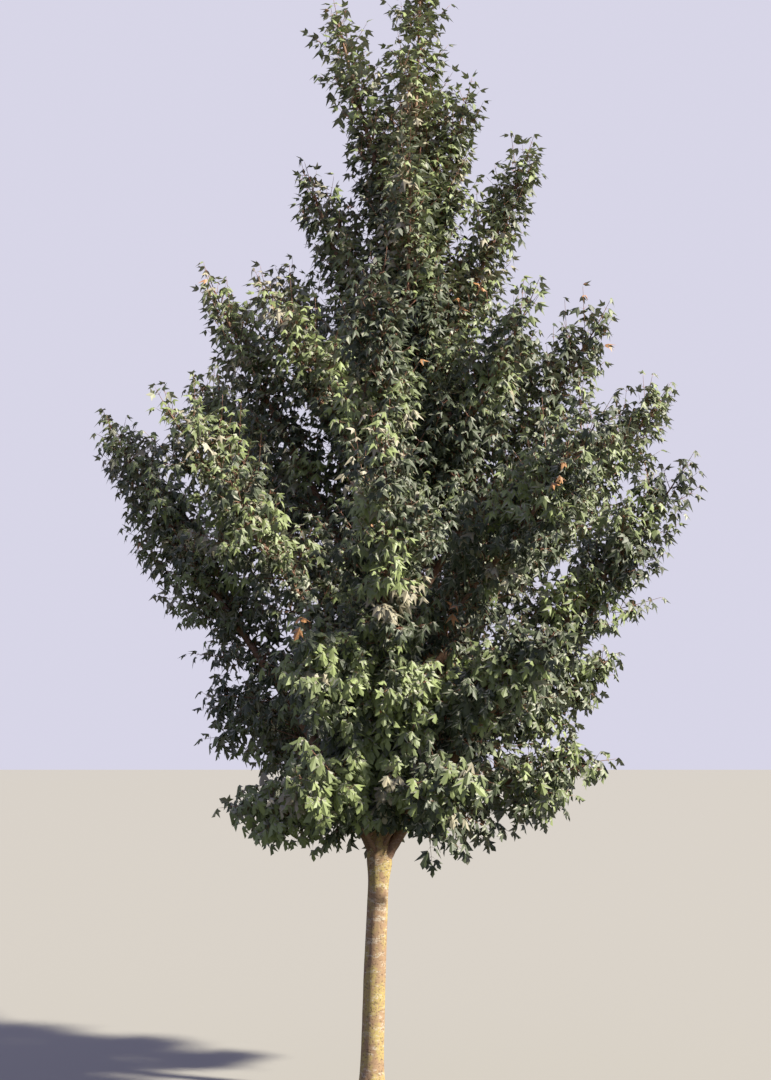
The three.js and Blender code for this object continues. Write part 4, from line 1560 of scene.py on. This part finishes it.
def make_leaf_group():
    """Veins towards the lobes over a blade colour that is a little uneven."""
    tree, inside, outside = new_group(
        "leaf_surface",
        [("Blade", "NodeSocketColor", (0.1, 0.2, 0.05, 1)),
         ("Veins", "NodeSocketColor", (0.3, 0.4, 0.15, 1)),
         ("Vein Share", "NodeSocketFloat", 0.5),
         ("Unevenness", "NodeSocketFloat", 0.3)],
        SURFACE_OUTPUTS,
    )
    coordinates = tree.nodes.new("ShaderNodeTexCoord")
    blade = tree.nodes.new("ShaderNodeSeparateXYZ")
    tree.links.new(coordinates.outputs["UV"], blade.inputs["Vector"])
    sideways = add_math(tree, "ABSOLUTE", add_math(tree, "SUBTRACT", blade.outputs["X"], 0.5))
    veins = None
    for lobe_deg in LOBES_DEG:
        turn = math.radians(lobe_deg)
        away = add_math(tree, "MULTIPLY", sideways, math.cos(turn))
        forth = add_math(tree, "MULTIPLY", blade.outputs["Y"], math.sin(turn))
        gap = add_math(tree, "ABSOLUTE", add_math(tree, "SUBTRACT", away, forth))
        line = add_ramp(tree, gap, VEIN_EDGE, VEIN_CORE)
        veins = line if veins is None else add_math(tree, "MAXIMUM", veins, line)
    cloudy = add_noise(tree, coordinates.outputs["Object"], 11.0, 2.0)
    fine = add_noise(tree, coordinates.outputs["Object"], 240.0, 2.0)
    shade = add_math(tree, "SUBTRACT", cloudy, 0.5)
    shade = add_math(tree, "MULTIPLY", shade, inside.outputs["Unevenness"])
    brightness = add_math(tree, "ADD", add_math(tree, "MULTIPLY", shade, 3.0), 1.0)
    tone = tree.nodes.new("ShaderNodeHueSaturation")
    tree.links.new(inside.outputs["Blade"], tone.inputs["Color"])
    tree.links.new(brightness, tone.inputs["Value"])
    share = add_math(tree, "MULTIPLY", veins, inside.outputs["Vein Share"])
    color = add_mix(tree, share, tone.outputs["Color"], inside.outputs["Veins"])
    roughness = add_math(tree, "ADD", add_math(tree, "MULTIPLY", fine, 0.2), 0.42)
    height = add_math(tree, "ADD", add_math(tree, "MULTIPLY", fine, 0.3), veins)
    tree.links.new(color, outside.inputs["Color"])
    tree.links.new(roughness, outside.inputs["Roughness"])
    tree.links.new(height, outside.inputs["Height"])
    return tree


leaf_group = make_leaf_group()
print("nodes in the leaf group:", len(leaf_group.nodes))

# %% [markdown]
# Here are the materials themselves, one for each tint and one for all the undersides.
# Each has the colour of its blade, that of its veins, how strongly the veins show, and
# how uneven it is.

# %% Leaf materials
LEAF_COLORS = {
    # Deep green is a real tone, and also the colour of the painted shade.
    "deep": (linear(66, 76, 52), linear(88, 98, 68), 0.5, 0.30),
    "mid": (linear(110, 123, 77), linear(138, 148, 96), 0.5, 0.30),
    "fresh": (linear(134, 149, 90), linear(160, 174, 114), 0.5, 0.25),
    # Creamy grey is a painted sheen.
    "grey": (linear(168, 160, 134), linear(188, 178, 154), 0.5, 0.25),
    "bronze": (linear(196, 138, 88), linear(208, 152, 108), 0.5, 0.25),
    "underside": (linear(156, 158, 138), linear(174, 170, 150), 0.6, 0.15),
}


def leaf_material(tint):
    """The material of one side of a blade in one tint."""
    values = dict(zip(("Blade", "Veins", "Vein Share", "Unevenness"), LEAF_COLORS[tint]))
    return grouped_material(
        "leaf_" + tint, leaf_group, values, bump_distance=0.0006, bump_strength=0.4,
    )


leaf_tops = [leaf_material(tint) for tint in TINTS]
leaf_under = leaf_material("underside")
print("leaf materials:", [material.name for material in (*leaf_tops, leaf_under)])

# %% [markdown]
# The leaves are joined into one mesh for each tier of the crown, which keeps every mesh
# under 200,000 triangles. Instances of one leaf would be lighter, but an export drops
# them. The tier of a leaf is the tier of the limb that bears it.

# %% Leaf pieces
TIERS = {
    "low": ("low_",), "lower": ("lower_",),
    "sweep_sides": ("sweep_right", "sweep_left", "sweep_outer_right"),
    "sweep_front": ("sweep_front",), "sweep_back": ("sweep_back",),
    "upper_sides": ("upper_left", "upper_right"),
    "upper_front": ("upper_front",), "upper_back": ("upper_back",),
    "top": ("top_", "crest_", "leader"),
}


def tier_limbs(prefixes):
    """The limbs whose names start with one of the given words."""
    return [limb for limb in limbs if limb.name.startswith(prefixes)]


def make_leaves(tier, members, seed):
    """All the blades of one tier, which replace the leaves of its solids."""
    own = some_of(leaves, np.isin(leaves.limb, [limb.seed for limb in members]))
    rng = np.random.default_rng(seed)
    vertices, faces, is_under, uvs = blade_mesh(own, TIER_OUTLINES[tier], rng)
    slots = np.where(is_under, len(TINTS), np.repeat(own.tint, len(faces) // len(own.size)))
    materials = [*leaf_tops, leaf_under]
    name = "foliage_" + tier
    piece = add_object(name, vertices, faces, materials, slots, smooth=False, uvs=uvs)
    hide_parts(*["leaves_" + limb.name for limb in members])
    return piece


for seed, (tier, prefixes) in enumerate(TIERS.items()):
    piece = make_leaves(tier, tier_limbs(prefixes), seed)
    print(piece.name, "triangles:", len(piece.data.polygons))

# %% [markdown]
# Stems and shoots are tubes again: eight-sided ones for the stems of the plumes, and
# three-sided ones for the thousands of shoots, whose facets are far too small to see. A
# leaf's stalk is a slim cone. Stalks are red, and twigs brown.

# %% Stalk material and tube sizes
STEM_SIDES = 8
STEM_POINTS = 30
SHOOT_SIDES = 3
STALK_SIDES = 3
STALK_RADIUS = 0.0013
SIDE_STEP = 2

stalk_red = grouped_material(
    "stalk_red", bark_group,
    {"Bark": linear(164, 106, 90), "Lichen": linear(164, 132, 92), "Crust": linear(188, 138, 120),
     "Cracks": linear(118, 70, 60), "Lichen Share": 0.4, "Fineness": 4.0},
    bump_distance=0.0002, bump_strength=0.3,
)
print("stalks are", round(2000 * STALK_RADIUS, 1), "mm thick, in", stalk_red.name)

# %% [markdown]
# The Skin modifier could turn lines into tubes too, but it has to solve every joint of
# every branch, which is more than twigs of this size need. Here a shoot simply starts
# inside the wood that bears it. All faces become triangles, so that tubes and cones can
# share one mesh.


# %% Tubes for twigs
def split(quads):
    """Two triangles from each four-cornered face."""
    return np.concatenate([quads[:, [0, 1, 2]], quads[:, [0, 2, 3]]])


def spikes(roots, tips, radius):
    """A slim three-sided cone from each root to its tip."""
    radii = np.full((len(roots), 2), radius)
    points, quads = tubes(np.stack([roots, tips], axis=1), radii, STALK_SIDES)
    rings = points.reshape(len(roots), 2, STALK_SIDES, 3)[:, 0]
    vertices = np.concatenate([rings, tips[:, None]], axis=1)
    sides = np.arange(STALK_SIDES)
    pattern = np.stack([sides, np.roll(sides, -1), np.full(STALK_SIDES, STALK_SIDES)], axis=1)
    faces = pattern[None] + (np.arange(len(roots)) * (STALK_SIDES + 1))[:, None, None]
    return vertices.reshape(-1, 3), faces.reshape(-1, 3)


def stem_tubes(members):
    """The leafy stems of some limbs, from where the bough ends to the leading shoot."""
    lines, radii = [], []
    for limb in members:
        lines.append(evenly(limb.controls, limb.bare, limb.stem_end, STEM_POINTS))
        radii.append(limb_radius(limb, np.linspace(limb.bare, limb.stem_end, STEM_POINTS)))
    points, quads = tubes(np.stack(lines), np.stack(radii), STEM_SIDES)
    return points, split(quads)


def shoot_tubes(chosen, step):
    """The chosen shoots, through every point of their lines or through every second."""
    lines = np.array(growth.lines)[chosen][:, ::step]
    radii = np.array(growth.radii)[chosen][:, ::step]
    points, quads = tubes(lines, radii, SHOOT_SIDES)
    return points, split(quads)


print("triangles of one stalk:", len(spikes(np.zeros((1, 3)), UP[None], STALK_RADIUS)[1]))

# %% [markdown]
# The wood is joined tier by tier as the leaves are, but apart from them, so that leaves
# and wood stay separate pieces. Both replace the same solids.


# %% Twig pieces
def make_twigs(tier, members):
    """All the stems, shoots and stalks of one tier, joined into one mesh."""
    seeds = [limb.seed for limb in members]
    shoots = np.isin(np.array(growth.shoot_limb), seeds)
    is_side = np.array(growth.is_side)
    stalks = np.isin(leaves.limb, seeds)
    parts = [
        (bough_bark, stem_tubes(members)),
        (twig_bark, shoot_tubes(shoots & ~is_side, 1)),
        (twig_bark, shoot_tubes(shoots & is_side, SIDE_STEP)),
        (stalk_red, spikes(leaves.root[stalks], leaves.neck[stalks], STALK_RADIUS)),
    ]
    vertices, faces, slots, start = [], [], [], 0
    for slot, (material, (points, triangles)) in enumerate(parts):
        vertices.append(points)
        faces.append(triangles + start)
        slots.append(np.full(len(triangles), slot))
        start += len(points)
    piece = add_object(
        "twigs_" + tier, np.vstack(vertices), np.vstack(faces),
        [material for material, shape in parts], np.concatenate(slots),
    )
    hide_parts(*["leaves_" + limb.name for limb in members])
    return piece


for tier, prefixes in TIERS.items():
    piece = make_twigs(tier, tier_limbs(prefixes))
    print(piece.name, "triangles:", len(piece.data.polygons))

# %% [markdown]
# The floor is a plain pale sheet at the height of the trunk's flat cut, and so large
# that no edge of it comes into view. A pale floor would throw much light up into the
# crown. To the light it is darker than to the camera, so that the undersides of the
# leaves stay in the shade, as they do in the open.

# %% Floor
FLOOR_SIZE = 900.0
FLOOR_COLOR = linear(160, 157, 150)
FLOOR_BOUNCE = linear(56, 60, 46)
FLOOR_ROUGHNESS = 0.9


def make_floor():
    """A large flat sheet that belongs to the stage and not to the tree."""
    material, tree, shader = new_material("pale_floor")
    seen = tree.nodes.new("ShaderNodeLightPath")
    color = add_mix(tree, seen.outputs["Is Camera Ray"], FLOOR_BOUNCE, FLOOR_COLOR)
    tree.links.new(color, shader.inputs["Base Color"])
    shader.inputs["Roughness"].default_value = FLOOR_ROUGHNESS
    half = FLOOR_SIZE / 2
    corners = [(-half, -half, 0), (half, -half, 0), (half, half, 0), (-half, half, 0)]
    mesh = bpy.data.meshes.new("floor")
    mesh.from_pydata(corners, [], [(0, 1, 2, 3)])
    mesh.materials.append(material)
    floor = bpy.data.objects.new("floor", mesh)
    bpy.context.scene.collection.objects.link(floor)
    return floor


floor = make_floor()
print("floor:", [round(side) for side in floor.dimensions[:2]], "m")

# %% [markdown]
# The main light is one distant, warm and soft-edged lamp, on the right, in front and
# fairly high. It lights the right side of the trunk and the top of every clump of
# leaves. A large area light near the tree would fade towards its far side, and a distant
# one lights it evenly.

# %% Main light
KEY_STRENGTH = 8.2
KEY_SOFTNESS_DEG = 4.0
KEY_ELEVATION_DEG = 38
KEY_AZIMUTH_DEG = -22
KEY_COLOR = (1.0, 0.94, 0.80)


def make_key():
    """A distant lamp, turned to shine from its elevation and azimuth."""
    data = bpy.data.lights.new("key", "SUN")
    data.energy = KEY_STRENGTH
    data.angle = math.radians(KEY_SOFTNESS_DEG)
    data.color = KEY_COLOR
    light = bpy.data.objects.new("key", data)
    elevation, azimuth = math.radians(KEY_ELEVATION_DEG), math.radians(KEY_AZIMUTH_DEG)
    level = math.cos(elevation)
    source = Vector((level * math.cos(azimuth), level * math.sin(azimuth), math.sin(elevation)))
    light.rotation_euler = source.to_track_quat("Z", "Y").to_euler()
    bpy.context.scene.collection.objects.link(light)
    return light


key = make_key()
print("the key light points down by", round(90 - math.degrees(key.rotation_euler.x)), "degrees")

# %% [markdown]
# A cool surround fills the shade from all sides, and the camera sees a plain pale
# backdrop in its place. The picture is shown without a film look, and gamma lifts its
# dark tones a little.

# %% Surround
FILL_COLOR = linear(188, 190, 236)
FILL_STRENGTH = 0.48
BACKDROP = linear(210, 208, 228)
GAMMA = 1.15


def make_world():
    """A pale backdrop for the camera, and a dimmer, cool surround that fills the shade."""
    world = bpy.data.worlds.new("studio")
    world.use_nodes = True
    tree = world.node_tree
    fill = tree.nodes["Background"]
    fill.inputs["Color"].default_value = FILL_COLOR
    fill.inputs["Strength"].default_value = FILL_STRENGTH
    backdrop = tree.nodes.new("ShaderNodeBackground")
    backdrop.inputs["Color"].default_value = BACKDROP
    seen = tree.nodes.new("ShaderNodeLightPath")
    choice = tree.nodes.new("ShaderNodeMixShader")
    tree.links.new(seen.outputs["Is Camera Ray"], choice.inputs["Fac"])
    tree.links.new(fill.outputs["Background"], choice.inputs[1])
    tree.links.new(backdrop.outputs["Background"], choice.inputs[2])
    tree.links.new(choice.outputs["Shader"], tree.nodes["World Output"].inputs["Surface"])
    bpy.context.scene.world = world
    return world


world = make_world()
bpy.context.scene.view_settings.view_transform = "Standard"
bpy.context.scene.view_settings.gamma = GAMMA
print("surround:", world.name, "with fill at", FILL_STRENGTH)

# %% [markdown]
